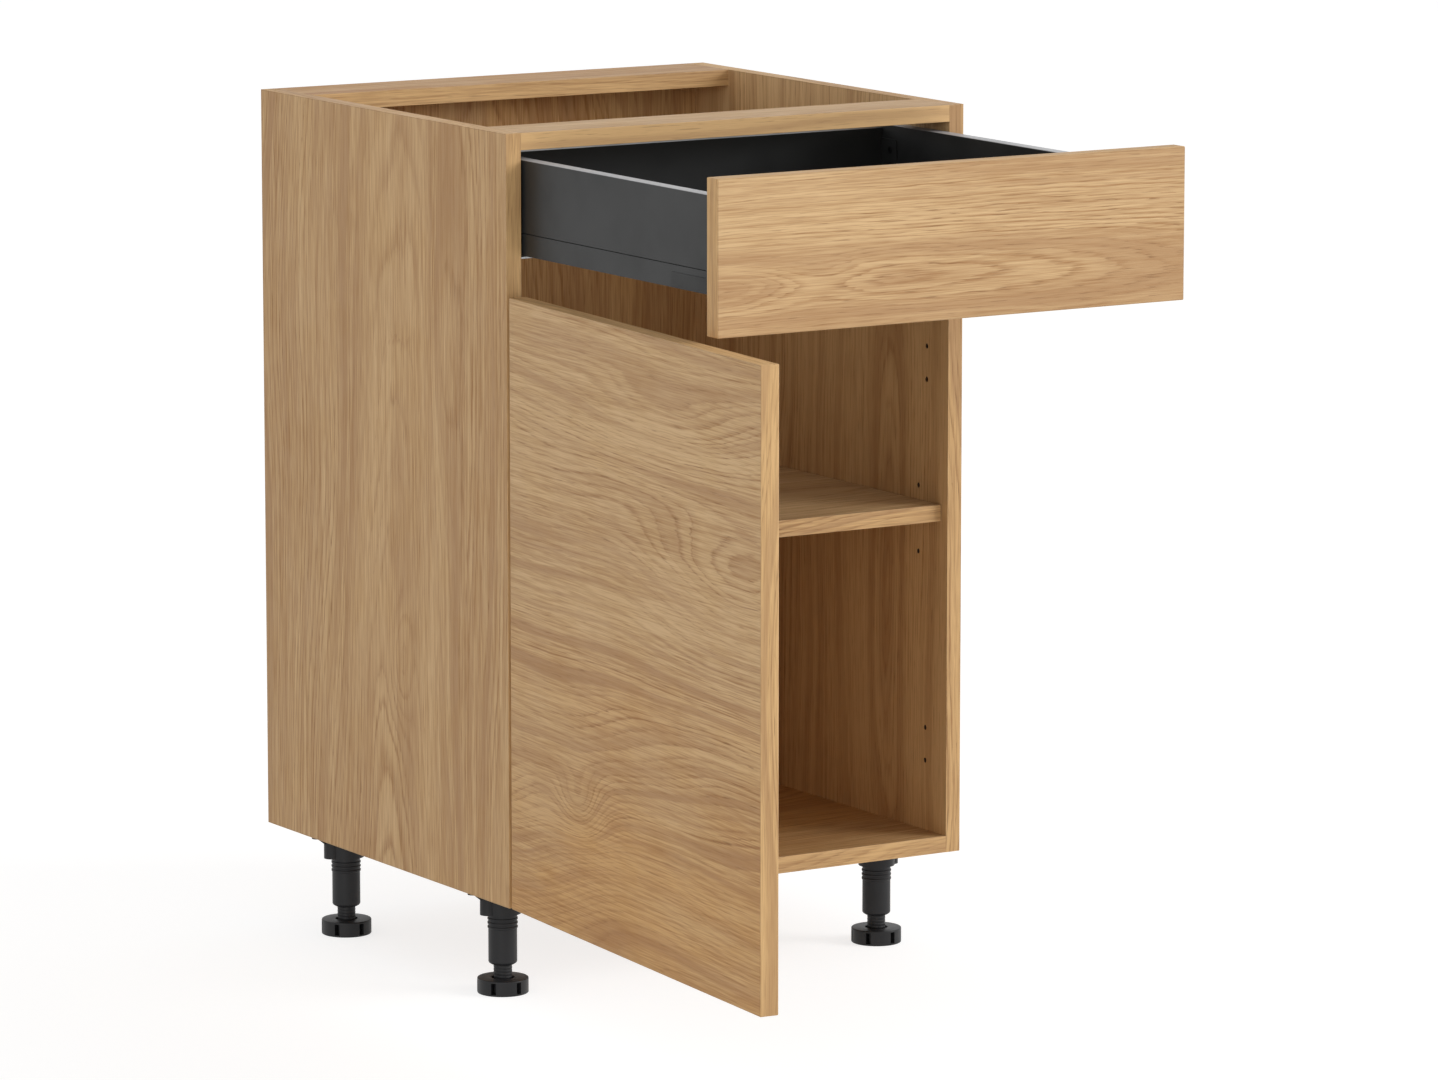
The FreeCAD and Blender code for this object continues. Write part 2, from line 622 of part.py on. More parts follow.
def hinge_arm(level):
    """The cranked neck, which reaches the pin inside the cup, and the channel over the plate."""
    wall = -INNER_HALF
    neck_x = PIVOT_X + NECK_REACH + NECK_SHEET / 2
    web_x = wall + ARM_WEB + ARM_SHEET / 2 + NECK_SHEET / 2
    path = [
        (PIVOT_X, PIVOT_Y - NECK_SHEET / 2),
        (neck_x, PIVOT_Y - NECK_SHEET / 2),
        (neck_x, FRONT + NECK_STEP_START),
        (web_x, FRONT + NECK_STEP_END),
        (web_x, FRONT + PLATE_START),
    ]
    low = level - NECK_HALF_HEIGHT
    outline = [Vector(x, y, low) for x, y in folded_strip(path[::-1], NECK_SHEET)]
    neck = prism(outline, Vector(0, 0, NECK_HALF_HEIGHT * 2))
    knuckle = rod(Vector(PIVOT_X, PIVOT_Y, low), Vector(0, 0, 1), KNUCKLE_RADIUS, NECK_HALF_HEIGHT * 2)
    top = wall + ARM_WEB + ARM_SHEET
    channel = block(wall + ARM_FLANGE_FOOT, top, FRONT + ARM_START, FRONT + ARM_END,
                    level - ARM_HALF_HEIGHT, level + ARM_HALF_HEIGHT)
    channel = rounded(channel, ARM_NOSE, lambda edge: runs_along(edge, Vector(1, 0, 0)))
    channel = bevelled_top(channel, top)
    hollow = block(wall - OVERRUN, top - ARM_SHEET, FRONT - OVERRUN, FRONT + ARM_END - ARM_SHEET,
                   level - ARM_HALF_HEIGHT + ARM_SHEET, level + ARM_HALF_HEIGHT - ARM_SHEET)
    arm = grown([channel.cut(hollow), neck, knuckle])
    eye = rod(Vector(PIVOT_X, PIVOT_Y, low - OVERRUN), Vector(0, 0, 1), PIN_RADIUS + PIN_PLAY,
              (NECK_HALF_HEIGHT + OVERRUN) * 2)
    holes = [adjuster_shank(place, SCREW_PLAY) for place in adjuster_places(level)]
    return cut_away(arm, [eye] + holes)


def bevelled_top(shape, top):
    """The shape with the edges of its face at X = top bevelled."""
    edges = [edge for edge in shape.Edges if edge.BoundBox.XMin > top - HINGE_CHAMFER]
    return shape.makeChamfer(HINGE_CHAMFER, edges)


def adjuster_places(level):
    x = -INNER_HALF + ARM_WEB + ARM_SHEET
    start = FRONT + ARM_START
    return [Vector(x, start + (ARM_END - ARM_START) * share, level) for share in ADJUSTER_SHARES]


def adjuster_shank(place, play=0):
    length = ARM_SHEET + ARM_PLATE_GAP + PLATE_RAIL_HEIGHT / 2
    return rod(place, Vector(-1, 0, 0), ADJUSTER_RADIUS + play, length + play)


def adjuster_screw(place):
    head = rod(place, Vector(1, 0, 0), ADJUSTER_HEAD_RADIUS, ADJUSTER_HEAD)
    slot = ADJUSTER_HEAD / 2
    reach = ADJUSTER_RADIUS
    x = place.x + slot
    y, z, half = place.y, place.z, slot / 2
    bar = block(x, x + OVERRUN, y - reach, y + reach, z - half, z + half)
    cross = block(x, x + OVERRUN, y - half, y + half, z - reach, z + reach)
    return cut_away(head.fuse(adjuster_shank(place)), [bar, cross])


def hinge_plate(level):
    wall = -INNER_HALF
    y = FRONT + PLATE_SCREW_SETBACK
    start, end = FRONT + PLATE_START, FRONT + PLATE_END
    top = wall + PLATE_BASE
    base = block(wall, top, start, end, level - PLATE_HALF_HEIGHT, level + PLATE_HALF_HEIGHT)
    base = rounded(base, ARM_NOSE, lambda edge: runs_along(edge, Vector(1, 0, 0)))
    half, r = SYSTEM_PITCH / 2, PLATE_WING_RADIUS
    wing = block(wall, top, y - r, y + r, level - half, level + half)
    ends = [rod(Vector(wall, y, z), Vector(1, 0, 0), r, PLATE_BASE) for z in (level - half, level + half)]
    rail_top = top + PLATE_RAIL_HEIGHT
    rail = block(wall, rail_top, start + PLATE_RAIL_INSET, end - PLATE_RAIL_INSET,
                 level - PLATE_RAIL_HALF_HEIGHT, level + PLATE_RAIL_HALF_HEIGHT)
    plate = grown([base, wing] + ends + [bevelled_top(rail, rail_top)])
    tools = [plate_screw(place, SCREW_PLAY) for place in plate_screw_places(level)]
    tools += [adjuster_shank(place, SCREW_PLAY) for place in adjuster_places(level)]
    return cut_away(plate, tools)


def plate_screw_places(level):
    x = -INNER_HALF + PLATE_BASE
    y = FRONT + PLATE_SCREW_SETBACK
    return [Vector(x, y, z) for z in (level - SYSTEM_PITCH / 2, level + SYSTEM_PITCH / 2)]


def plate_screw(place, play=0):
    return countersunk(place, Vector(-1, 0, 0), SCREW_LENGTH, play)


def hinge_screws():
    """Groups of the plate screws, the cup screws and the adjusting screws of both hinges."""
    plate, cup, adjusting = [], [], []
    for level in HINGE_LEVELS.values():
        plate += [plate_screw(place) for place in plate_screw_places(level)]
        cup += [opened(cup_screw(place)) for place in cup_screw_places(level)]
        adjusting += [adjuster_screw(place) for place in adjuster_places(level)]
    return [Part.makeCompound(group) for group in (plate, cup, adjusting)]


def drawn_out(shape, share=1):
    """The closed drawer's piece, drawn forward by a share of the drawer's way."""
    shape = shape.copy()
    shape.translate(Vector(0, -DRAWER_OUT * share, 0))
    return shape


def cabinet_runner():
    wall = -INNER_HALF
    far = wall + RUNNER_FOOT_WIDTH
    path = [
        (wall, RUNNER_BOTTOM + RUNNER_WEB_HEIGHT),
        (wall, RUNNER_BOTTOM),
        (far, RUNNER_BOTTOM),
        (far, RUNNER_BOTTOM + RUNNER_LIP),
    ]
    runner = folded_sheet(path[::-1], RUNNER_SHEET, FRONT + RUNNER_SETBACK, RUNNER_LENGTH, RUNNER_BEND)
    return cut_away(runner, [runner_screw(y, z, SCREW_PLAY) for y, z in runner_screw_places()])


def runner_screw(y, z, play=0):
    place = Vector(-INNER_HALF + RUNNER_SHEET, y, z)
    return countersunk(place, Vector(-1, 0, 0), SCREW_LENGTH, play)


def middle_runner():
    near = -INNER_HALF + MIDDLE_INSET
    far = near + MIDDLE_WIDTH
    top = MIDDLE_BOTTOM + MIDDLE_HEIGHT
    path = [(near, top), (near, MIDDLE_BOTTOM), (far, MIDDLE_BOTTOM), (far, top)]
    start = FRONT + MIDDLE_START
    length = RUNNER_LENGTH - MIDDLE_SHORTER
    runner = folded_sheet(path[::-1], RUNNER_SHEET, start, length, RUNNER_BEND)
    return drawn_out(runner, MIDDLE_OUT_SHARE)


def drawer_runner():
    gap = RUNNING_GAP + RUNNER_SHEET
    near = -INNER_HALF + MIDDLE_INSET - gap
    far = near + MIDDLE_WIDTH + gap * 2
    low = DRAWER_BOX_BOTTOM - DRAWER_RUNNER_SKIRT
    path = [(near, low), (near, DRAWER_BOX_BOTTOM), (far, DRAWER_BOX_BOTTOM), (far, low)]
    start = FRONTS_INNER + RUNNER_SETBACK
    length = RUNNER_LENGTH - DRAWER_RUNNER_SHORTER
    return drawn_out(folded_sheet(path, RUNNER_SHEET, start, length, RUNNER_BEND))


def drawer_side():
    """One bent sheet: outer skin, top, inner skin and the foot that carries the bottom board."""
    outer = -INNER_HALF + DRAWER_SIDE_GAP
    inner = -INNER_HALF + DRAWER_INNER_FACE
    low = BAND_TOP + BAND_SEAM
    skins = [(outer, low), (outer, DRAWER_SIDE_TOP), (inner, DRAWER_SIDE_TOP), (inner, DRAWER_BOX_BOTTOM)]
    side = folded_sheet(skins, DRAWER_SHEET, FRONTS_INNER, RUNNER_LENGTH, DRAWER_SIDE_BEND)
    foot = block(inner - DRAWER_SHEET, inner + DRAWER_FOOT_WIDTH, FRONTS_INNER, FRONTS_INNER + RUNNER_LENGTH,
                 DRAWER_BOX_BOTTOM, DRAWER_BOARD_BOTTOM)
    side = grown([side, foot])
    tools = [tab_screw(y, z, SCREW_PLAY) for y, z in tab_screw_places()]
    tools += [bottom_screw(y, SCREW_PLAY) for y in bottom_screw_places()]
    return drawn_out(cut_away(side, tools))


def cover_band():
    outer = -INNER_HALF + DRAWER_SIDE_GAP
    inner = -INNER_HALF + DRAWER_INNER_FACE - DRAWER_SHEET
    low = DRAWER_BOX_BOTTOM - BAND_DROP
    path = [(outer, low), (outer, BAND_TOP), (inner, BAND_TOP)]
    return drawn_out(folded_sheet(path, DRAWER_SHEET, FRONTS_INNER, RUNNER_LENGTH, DRAWER_SIDE_BEND))


def cover_cap():
    outer = -INNER_HALF + DRAWER_SIDE_GAP
    low = DRAWER_BOX_BOTTOM - BAND_DROP
    cap = block(outer - CAP_THICKNESS, outer, FRONTS_INNER + FITTING_PLAY, FRONTS_INNER + CAP_LENGTH,
                low, low + CAP_HEIGHT)
    return drawn_out(rounded(cap, CAP_CORNER, lambda edge: runs_along(edge, Vector(1, 0, 0))))


def drawer_front():
    half = HALF_WIDTH - SIDE_REVEAL
    board = block(-half, half, FRONTS_INNER - FRONT_BOARD, FRONTS_INNER, DRAWER_FRONT_BOTTOM,
                  DRAWER_FRONT_BOTTOM + DRAWER_FRONT_HEIGHT)
    screws = [bracket_screw(z, PILOT_PLAY, PILOT_END_PLAY) for z in bracket_screw_levels()]
    screws += [mirrored(screw) for screw in screws]
    return drawn_out(cut_away(rounded(board, FRONT_ROUND), screws))


def drawer_bottom():
    half = INNER_HALF - DRAWER_INNER_FACE - DRAWER_BOTTOM_PLAY
    end = DRAWER_BACK_FACE + DRAWER_BACK_FOLD
    board = block(-half, half, FRONTS_INNER, end, DRAWER_BOARD_BOTTOM, DRAWER_BOARD_BOTTOM + BOARD)
    screws = [bottom_screw(y, PILOT_PLAY, PILOT_END_PLAY) for y in bottom_screw_places()]
    screws += [mirrored(screw) for screw in screws]
    return drawn_out(cut_away(board, screws))


def bottom_screw_places():
    return [FRONTS_INNER + RUNNER_LENGTH * share for share in BOTTOM_SCREW_SHARES]


def bottom_screw(y, play=0, end=0):
    x = -INNER_HALF + DRAWER_INNER_FACE + DRAWER_FOOT_WIDTH / 2
    return countersunk(Vector(x, y, DRAWER_BOX_BOTTOM), Vector(0, 0, 1), BOTTOM_SCREW_LENGTH + end, play)


def drawer_back():
    """A folded steel back with a turned-down top edge and a screwed tab at each end."""
    floor = DRAWER_BOARD_BOTTOM + BOARD
    top = DRAWER_SIDE_TOP - DRAWER_BACK_DROP
    half = INNER_HALF - DRAWER_INNER_FACE - DRAWER_BACK_END_GAP
    face = DRAWER_BACK_FACE
    behind = face + DRAWER_BACK_FOLD
    path = [(face, floor), (face, top), (behind, top), (behind, top - DRAWER_BACK_LIP)]
    outline = [Vector(-half, y, z) for y, z in folded_strip(path, DRAWER_BACK_SHEET)]
    wall = prism(outline, Vector(half * 2, 0, 0))
    low = floor + DRAWER_TAB_RISE
    tab = block(-half, -half + DRAWER_BACK_SHEET, face - DRAWER_TAB_LENGTH, face + DRAWER_BACK_SHEET,
                low, low + DRAWER_TAB_HEIGHT)
    tab = rounded(tab, BRACKET_CORNER, lambda e: runs_along(e, Vector(1, 0, 0)) and e.BoundBox.YMax < face)
    back = grown([wall, tab, mirrored(tab)])
    screws = [tab_screw(y, z, SCREW_PLAY) for y, z in tab_screw_places()]
    screws += [mirrored(screw) for screw in screws]
    return drawn_out(cut_away(back, screws))


def tab_screw_places():
    low = DRAWER_BOARD_BOTTOM + BOARD + DRAWER_TAB_RISE
    y = DRAWER_BACK_FACE - TAB_SCREW_INSET
    return [(y, low + DRAWER_TAB_HEIGHT * share) for share in DRAWER_TAB_SHARES]


def tab_screw(y, z, play=0):
    x = -INNER_HALF + DRAWER_INNER_FACE + DRAWER_BACK_END_GAP + DRAWER_BACK_SHEET
    head = rod(Vector(x, y, z), Vector(1, 0, 0), SCREW_HEAD_RADIUS, TAB_SCREW_HEAD)
    shank = rod(Vector(x, y, z), Vector(-1, 0, 0), SCREW_RADIUS + play, TAB_SCREW_LENGTH + play)
    return shank if play else head.fuse(shank)


def front_bracket():
    """A folded bracket in the hollow of the drawer side, with a plate against the drawer front."""
    near = -INNER_HALF + DRAWER_SIDE_GAP + DRAWER_SHEET + BRACKET_PLAY
    far = -INNER_HALF + DRAWER_INNER_FACE - DRAWER_SHEET - BRACKET_PLAY
    low, high = bracket_span()
    path = [(near, FRONTS_INNER), (far, FRONTS_INNER), (far, FRONTS_INNER + BRACKET_TONGUE)]
    outline = [Vector(x, y, low) for x, y in folded_strip(path[::-1], BRACKET_SHEET)[::-1]]
    bracket = prism(outline, Vector(0, 0, high - low))
    screws = [bracket_screw(z, SCREW_PLAY) for z in bracket_screw_levels()]
    return drawn_out(cut_away(bracket, screws))


def bracket_span():
    return BAND_TOP + BRACKET_PLAY, DRAWER_SIDE_TOP - DRAWER_SHEET - BRACKET_PLAY


def bracket_screw_levels():
    low, high = bracket_span()
    return [low + (high - low) * share for share in BRACKET_SCREW_SHARES]


def bracket_screw(z, play=0, end=0):
    x = -INNER_HALF + DRAWER_SIDE_GAP + DRAWER_SIDE_THICKNESS / 2 - BRACKET_SHEET / 2
    place = Vector(x, FRONTS_INNER + BRACKET_SHEET, z)
    return countersunk(place, Vector(0, -1, 0), BRACKET_SCREW_LENGTH + end, play)


def drawer_screws():
    """Groups of the tab screws, the bottom screws and the front bracket screws."""
    tab = [tab_screw(y, z) for y, z in tab_screw_places()]
    bottom = [bottom_screw(y) for y in bottom_screw_places()]
    bracket = [bracket_screw(z) for z in bracket_screw_levels()]
    return [both_sides([drawn_out(piece) for piece in group]) for group in (tab, bottom, bracket)]


def leg_places():
    """Name to (x, y, which way is outward in X, the turn of the foot's slots)."""
    x = HALF_WIDTH - LEG_FROM_SIDE
    y0, y1 = FRONT + LEG_FROM_FRONT, BACK - LEG_FROM_BACK
    slot = FOOT_SLOT_START_DEG
    return {
        "front_left": (-x, y0, -1, slot),
        "front_right": (x, y0, 1, slot),
        "back_left": (-x, y1, -1, slot),
        "back_right": (x, y1, 1, slot),
    }


def tapered_plate(big, small, distance, low, thickness):
    """A plate round two circles, the small one a distance away in +X, joined by tangents."""
    lean = math.acos((big - small) / distance)
    corners = [(0, big, lean), (distance, small, lean), (distance, small, -lean), (0, big, -lean)]
    points = [Vector(x + r * math.cos(a), r * math.sin(a), low) for x, r, a in corners]
    web = prism(points, Vector(0, 0, thickness))
    discs = [
        rod(Vector(0, 0, low), Vector(0, 0, 1), big, thickness),
        rod(Vector(distance, 0, low), Vector(0, 0, 1), small, thickness),
    ]
    return grown([web] + discs)


def leg_socket(x, y, outward):
    flange = tapered_plate(
        SOCKET_FLANGE_RADIUS, SOCKET_TIP_RADIUS, SOCKET_TIP_DISTANCE, -SOCKET_FLANGE, SOCKET_FLANGE
    )
    boss = Part.makeCone(SOCKET_RADIUS, SOCKET_RADIUS + SOCKET_DRAFT, SOCKET_DEPTH,
                         Vector(0, 0, -SOCKET_DEPTH), Vector(0, 0, 1))
    lobe_x = SOCKET_LOBE_REACH - SOCKET_LOBE_RADIUS
    lobe = rod(Vector(lobe_x, 0, -SOCKET_DEPTH), Vector(0, 0, 1), SOCKET_LOBE_RADIUS, SOCKET_DEPTH)
    rib_low = -SOCKET_DEPTH * SOCKET_RIB_SHARE
    rib_corners = ((lobe_x, -SOCKET_FLANGE), (SOCKET_TIP_DISTANCE, -SOCKET_FLANGE), (lobe_x, rib_low))
    rib = prism([Vector(a, -SOCKET_RIB / 2, z) for a, z in rib_corners], Vector(0, SOCKET_RIB, 0))
    bore = rod(Vector(0, 0, -SOCKET_DEPTH - OVERRUN), Vector(0, 0, 1), COLUMN_SPIGOT_RADIUS + SOCKET_PLAY,
               SOCKET_DEPTH + OVERRUN - SOCKET_ROOF)
    socket = cut_away(grown([flange, boss, lobe, rib]), [bore])
    if outward < 0:
        socket = mirrored(socket)
    socket.translate(Vector(x, y, 0))
    return cut_away(socket, socket_screws(x, y, outward, SCREW_PLAY))


def socket_screws(x, y, outward, play=0, end=0):
    screws = []
    for angle in SOCKET_SCREW_ANGLES_DEG:
        lean = math.radians(angle)
        place_x = x + outward * SOCKET_SCREW_CIRCLE * math.cos(lean)
        place = Vector(place_x, y + SOCKET_SCREW_CIRCLE * math.sin(lean), -SOCKET_FLANGE)
        screws.append(countersunk(place, Vector(0, 0, 1), SCREW_LENGTH + end, play))
    return screws


def leg_column(x, y):
    """A tube with a spigot in the socket, three grip rings and a rounded lower end."""
    top = -SOCKET_ROOF - COLUMN_TOP_GAP
    shoulder = -SOCKET_DEPTH - COLUMN_TOP_GAP
    bottom = -COLUMN_BOTTOM
    bore = SPINDLE_RADIUS + SPINDLE_PLAY
    bevel = COLUMN_ROUND / 2
    spigot, r, ring = COLUMN_SPIGOT_RADIUS, COLUMN_RADIUS, COLUMN_RING_RADIUS
    half = COLUMN_RING / 2
    foot = half + ring - r
    points = [(0, top), (spigot, top), (spigot, shoulder), (r, shoulder)]
    for level in COLUMN_RING_LEVELS:
        points += [(r, foot - level), (ring, half - level), (ring, -half - level), (r, -foot - level)]
    points += [(r, bottom + COLUMN_ROUND), (r - bevel / 2, bottom + bevel), (r - COLUMN_ROUND, bottom)]
    points += [(bore, bottom), (bore, top - COLUMN_CEILING), (0, top - COLUMN_CEILING)]
    return turned(points, Vector(x, y, 0))


def levelling_foot(x, y, slot_turn):
    """A disc with grip slots round its rim and a threaded spindle up into the column."""
    low, high = -LEG_HEIGHT, FOOT_HEIGHT - LEG_HEIGHT
    r, edge, bevel = FOOT_RADIUS, FOOT_ROUND, FOOT_ROUND * FOOT_BEVEL_SHARE
    points = [(0, low), (r - edge, low), (r - bevel, low + bevel), (r, low + edge)]
    points += [(r, high - edge), (r - bevel, high - bevel), (r - edge, high), (0, high)]
    disc = turned(points, Vector(0, 0, 0))
    recess = rod(Vector(0, 0, high - FOOT_RECESS), Vector(0, 0, 1), FOOT_RECESS_RADIUS, FOOT_HEIGHT)
    slots = []
    for step in range(FOOT_SLOTS):
        slot = block(FOOT_RADIUS - FOOT_SLOT_DEPTH, FOOT_RADIUS + OVERRUN, -FOOT_SLOT_WIDTH / 2,
                     FOOT_SLOT_WIDTH / 2, low + FOOT_SLOT_MARGIN, high - FOOT_SLOT_MARGIN)
        slot.rotate(Vector(0, 0, 0), Vector(0, 0, 1), slot_turn + step * 360 / FOOT_SLOTS)
        slots.append(slot)
    spindle_low = high - FOOT_RECESS - FOOT_RECESS
    spindle = rod(Vector(0, 0, spindle_low), Vector(0, 0, 1), SPINDLE_RADIUS, -SPINDLE_TOP - spindle_low)
    top_edges = [edge for edge in spindle.Edges if edge.Closed and edge.BoundBox.ZMin > high]
    spindle = spindle.makeChamfer(FOOT_RECESS, top_edges)
    foot = grown([cut_away(disc, [recess] + slots), spindle])
    foot.translate(Vector(x, y, 0))
    return foot


def build_carcass():
    save("left_side_panel", side_panel(SCREW_RADIUS + PILOT_PLAY))
    save("right_side_panel", mirrored(side_panel(SYSTEM_HOLE_RADIUS)))
    save("bottom_panel", bottom_panel())
    save("front_top_rail", top_rail("front", FRONT, FRONT_RAIL_WIDTH))
    save("rear_top_rail", rear_top_rail())
    save("back_panel", back_panel())
    for name, group in zip(("cam_locks", "cam_bolts", "wood_dowels"), knock_down_fittings()):
        save(name, group)
    save("shelf", shelf())
    save("shelf_pins", shelf_pins())


def build_door():
    save("door_panel", door_panel())
    for name, level in HINGE_LEVELS.items():
        save(name + "_hinge_cup", hinge_cup(level))
        save(name + "_hinge_arm", hinge_arm(level))
        save(name + "_hinge_plate", hinge_plate(level))
    save("hinge_pins", opened(hinge_pins()))
    names = ("hinge_plate_screws", "hinge_cup_screws", "hinge_adjusting_screws")
    for name, group in zip(names, hinge_screws()):
        save(name, group)


def build_drawer():
    pairs = {
        "cabinet_runner": cabinet_runner(),
        "middle_runner": middle_runner(),
        "drawer_runner": drawer_runner(),
        "drawer_side": drawer_side(),
        "drawer_cover_band": cover_band(),
        "drawer_cover_cap": cover_cap(),
        "drawer_front_bracket": front_bracket(),
    }
    for name, piece in pairs.items():
        save("left_" + name, piece)
        save("right_" + name, mirrored(piece))
    screws = [runner_screw(y, z) for y, z in runner_screw_places()]
    save("runner_screws", both_sides(screws))
    save("drawer_front", drawer_front())
    save("drawer_bottom", drawer_bottom())
    save("drawer_back", drawer_back())
    names = ("drawer_back_screws", "drawer_bottom_screws", "drawer_front_screws")
    for name, group in zip(names, drawer_screws()):
        save(name, group)


def build_legs():
    screws = []
    for name, (x, y, outward, slot_turn) in leg_places().items():
        save(name + "_leg_socket", leg_socket(x, y, outward))
        save(name + "_leg_column", leg_column(x, y))
        save(name + "_levelling_foot", levelling_foot(x, y, slot_turn))
        screws += socket_screws(x, y, outward)
    save("leg_screws", Part.makeCompound(screws))


os.makedirs("parts", exist_ok=True)
build_carcass()
build_door()
build_drawer()
build_legs()
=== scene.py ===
import math
from collections import namedtuple

import bpy
import numpy as np
from mathutils import Matrix, Vector


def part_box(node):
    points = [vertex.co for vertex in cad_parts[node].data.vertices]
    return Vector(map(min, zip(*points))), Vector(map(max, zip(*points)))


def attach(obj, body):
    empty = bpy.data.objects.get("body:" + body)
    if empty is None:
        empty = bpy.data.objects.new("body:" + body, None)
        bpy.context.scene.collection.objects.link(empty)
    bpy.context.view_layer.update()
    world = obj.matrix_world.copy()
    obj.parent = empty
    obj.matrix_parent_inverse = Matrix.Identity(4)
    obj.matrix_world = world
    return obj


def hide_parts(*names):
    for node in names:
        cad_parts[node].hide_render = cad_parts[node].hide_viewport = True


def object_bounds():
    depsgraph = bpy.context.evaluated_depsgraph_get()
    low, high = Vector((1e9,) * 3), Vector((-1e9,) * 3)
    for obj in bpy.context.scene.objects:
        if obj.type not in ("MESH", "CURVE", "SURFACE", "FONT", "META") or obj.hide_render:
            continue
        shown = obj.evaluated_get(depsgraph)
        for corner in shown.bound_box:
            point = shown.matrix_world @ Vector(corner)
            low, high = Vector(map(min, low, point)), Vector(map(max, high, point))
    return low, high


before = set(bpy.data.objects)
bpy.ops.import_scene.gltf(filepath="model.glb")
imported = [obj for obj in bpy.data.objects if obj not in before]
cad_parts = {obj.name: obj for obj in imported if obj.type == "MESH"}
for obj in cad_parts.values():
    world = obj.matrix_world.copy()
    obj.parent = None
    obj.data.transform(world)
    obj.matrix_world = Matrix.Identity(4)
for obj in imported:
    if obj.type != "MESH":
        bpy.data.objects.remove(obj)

# The looks of a kitchen base cabinet: oak laminate boards, a dark steel drawer, black legs.
# Metres, in the frame's own axes: X to the right, Y to the wall, Z up.

bl_info = {
    "name": "Kitchen Base Cabinet",
    "version": (1, 0, 0),
    "blender": (4, 5, 0),
    "location": "3D View > Sidebar > Cabinet",
    "description": "Oak boards, steel drawer, hinges, legs and a plain studio for a base cabinet",
    "category": "Object",
}

CAD_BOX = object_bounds()
DOOR_OPEN = math.radians(94.5)
# The direction through the open door, from its inner face to its front
DOOR_THROUGH = (math.cos(DOOR_OPEN - math.pi / 2), -math.sin(DOOR_OPEN - math.pi / 2), 0)

# Each board: its axes along the grain, across it and through the board, and its own figure
BOARDS = {
    "left_side_panel": ("ZYX", "side_left"),
    "right_side_panel": ("ZYX", "side_right"),
    "back_panel": ("ZXY", "back"),
    "bottom_panel": ("XYZ", "bottom"),
    "shelf": ("XYZ", "shelf"),
    "front_top_rail": ("XYZ", "front_rail"),
    "rear_top_rail": ("XYZ", "rear_rail"),
    "drawer_front": ("XZY", "drawer_front"),
    "door_panel": ("XZY", "door"),
}

# Where the heart of the log lies across the board and under its face, how it leans along the
# grain, how far it wanders, how dark the board's faces and its edge bands are, its rings as a
# share of the usual width, and how much of the warm tint the wood near the heart takes
Heart = namedtuple("Heart", "across depth lean wander tone band_tone rings warmth")
HEARTS = {
    "side_left": Heart(0.20, 0.070, 0.080, 0.16, -0.14, -0.27, 1.1, 0.1),
    "side_right": Heart(0.095, -0.030, 0.120, 0.12, -0.52, -0.30, 1.0, 0.1),
    "back": Heart(0.22, 0.050, 0.090, 0.14, -0.12, -0.24, 1.0, 0.9),
    "bottom": Heart(0.30, 0.060, 0.060, 0.12, -0.16, -0.30, 1.0, 1.0),
    "shelf": Heart(0.14, 0.050, 0.070, 0.12, -0.32, -0.30, 1.0, 0.0),
    "front_rail": Heart(-0.05, 0.060, 0.050, 0.05, -0.16, -1.00, 1.0, 0.0),
    "rear_rail": Heart(0.12, 0.070, 0.050, 0.05, -0.12, -0.28, 1.0, 1.0),
    "drawer_front": Heart(0.040, 0.004, 0.055, 0.09, -0.31, -0.42, 0.65, 0.0),
    "door": Heart(-0.04, 0.050, -0.100, 0.24, -0.30, -0.45, 1.3, 1.0),
}

# Knots and curls that the rings run round: place along and across the board, reach along and
# across, and how far each lifts the rings
Curl = namedtuple("Curl", "place reach lift")
CURLS = {
    "side_left": [Curl((0.20, 0.20), (0.060, 0.022), 0.022), Curl((0.52, 0.12), (0.140, 0.030), 0.024)],
    "side_right": [Curl((0.45, 0.30), (0.120, 0.040), 0.020)],
    "back": [Curl((0.30, 0.12), (0.150, 0.040), 0.016)],
    "bottom": [Curl((0.20, 0.30), (0.100, 0.050), 0.010)],
    "shelf": [Curl((0.30, 0.20), (0.100, 0.050), 0.010)],
    "front_rail": [Curl((0.30, 0.02), (0.100, 0.030), 0.006)],
    "rear_rail": [Curl((0.20, 0.04), (0.100, 0.030), 0.006)],
    "drawer_front": [Curl((0.10, 0.050), (0.060, 0.025), 0.014)],
    "door": [
        Curl((0.145, 0.120), (0.050, 0.034), 0.050), Curl((0.26, 0.49), (0.200, 0.045), 0.055),
        Curl((0.50, 0.37), (0.150, 0.062), 0.080),
    ],
}
FIRST_SEED = 1.3
SEED_STEP = 3.7
FIGURE_SEEDS = {name: FIRST_SEED + SEED_STEP * place for place, name in enumerate(HEARTS)}

FINISHES = {
    "painted_steel": (
        "left_drawer_side", "right_drawer_side", "left_drawer_cover_band",
        "right_drawer_cover_band", "drawer_back",
    ),
    "bright_steel": (
        "left_cabinet_runner", "right_cabinet_runner", "left_middle_runner", "right_middle_runner",
        "left_drawer_runner", "right_drawer_runner", "left_drawer_front_bracket",
        "right_drawer_front_bracket", "cam_bolts", "shelf_pins", "hinge_pins",
        "hinge_adjusting_screws",
    ),
    "nickel_steel": (
        "lower_hinge_cup", "upper_hinge_cup", "lower_hinge_arm", "upper_hinge_arm",
        "lower_hinge_plate", "upper_hinge_plate",
    ),
    "cast_zinc": ("cam_locks",),
    "cap_plastic": ("left_drawer_cover_cap", "right_drawer_cover_cap"),
    "drawer_board": ("drawer_bottom",),
    "beech": ("wood_dowels",),
}
LEG_PLACES = ("front_left", "front_right", "back_left", "back_right")

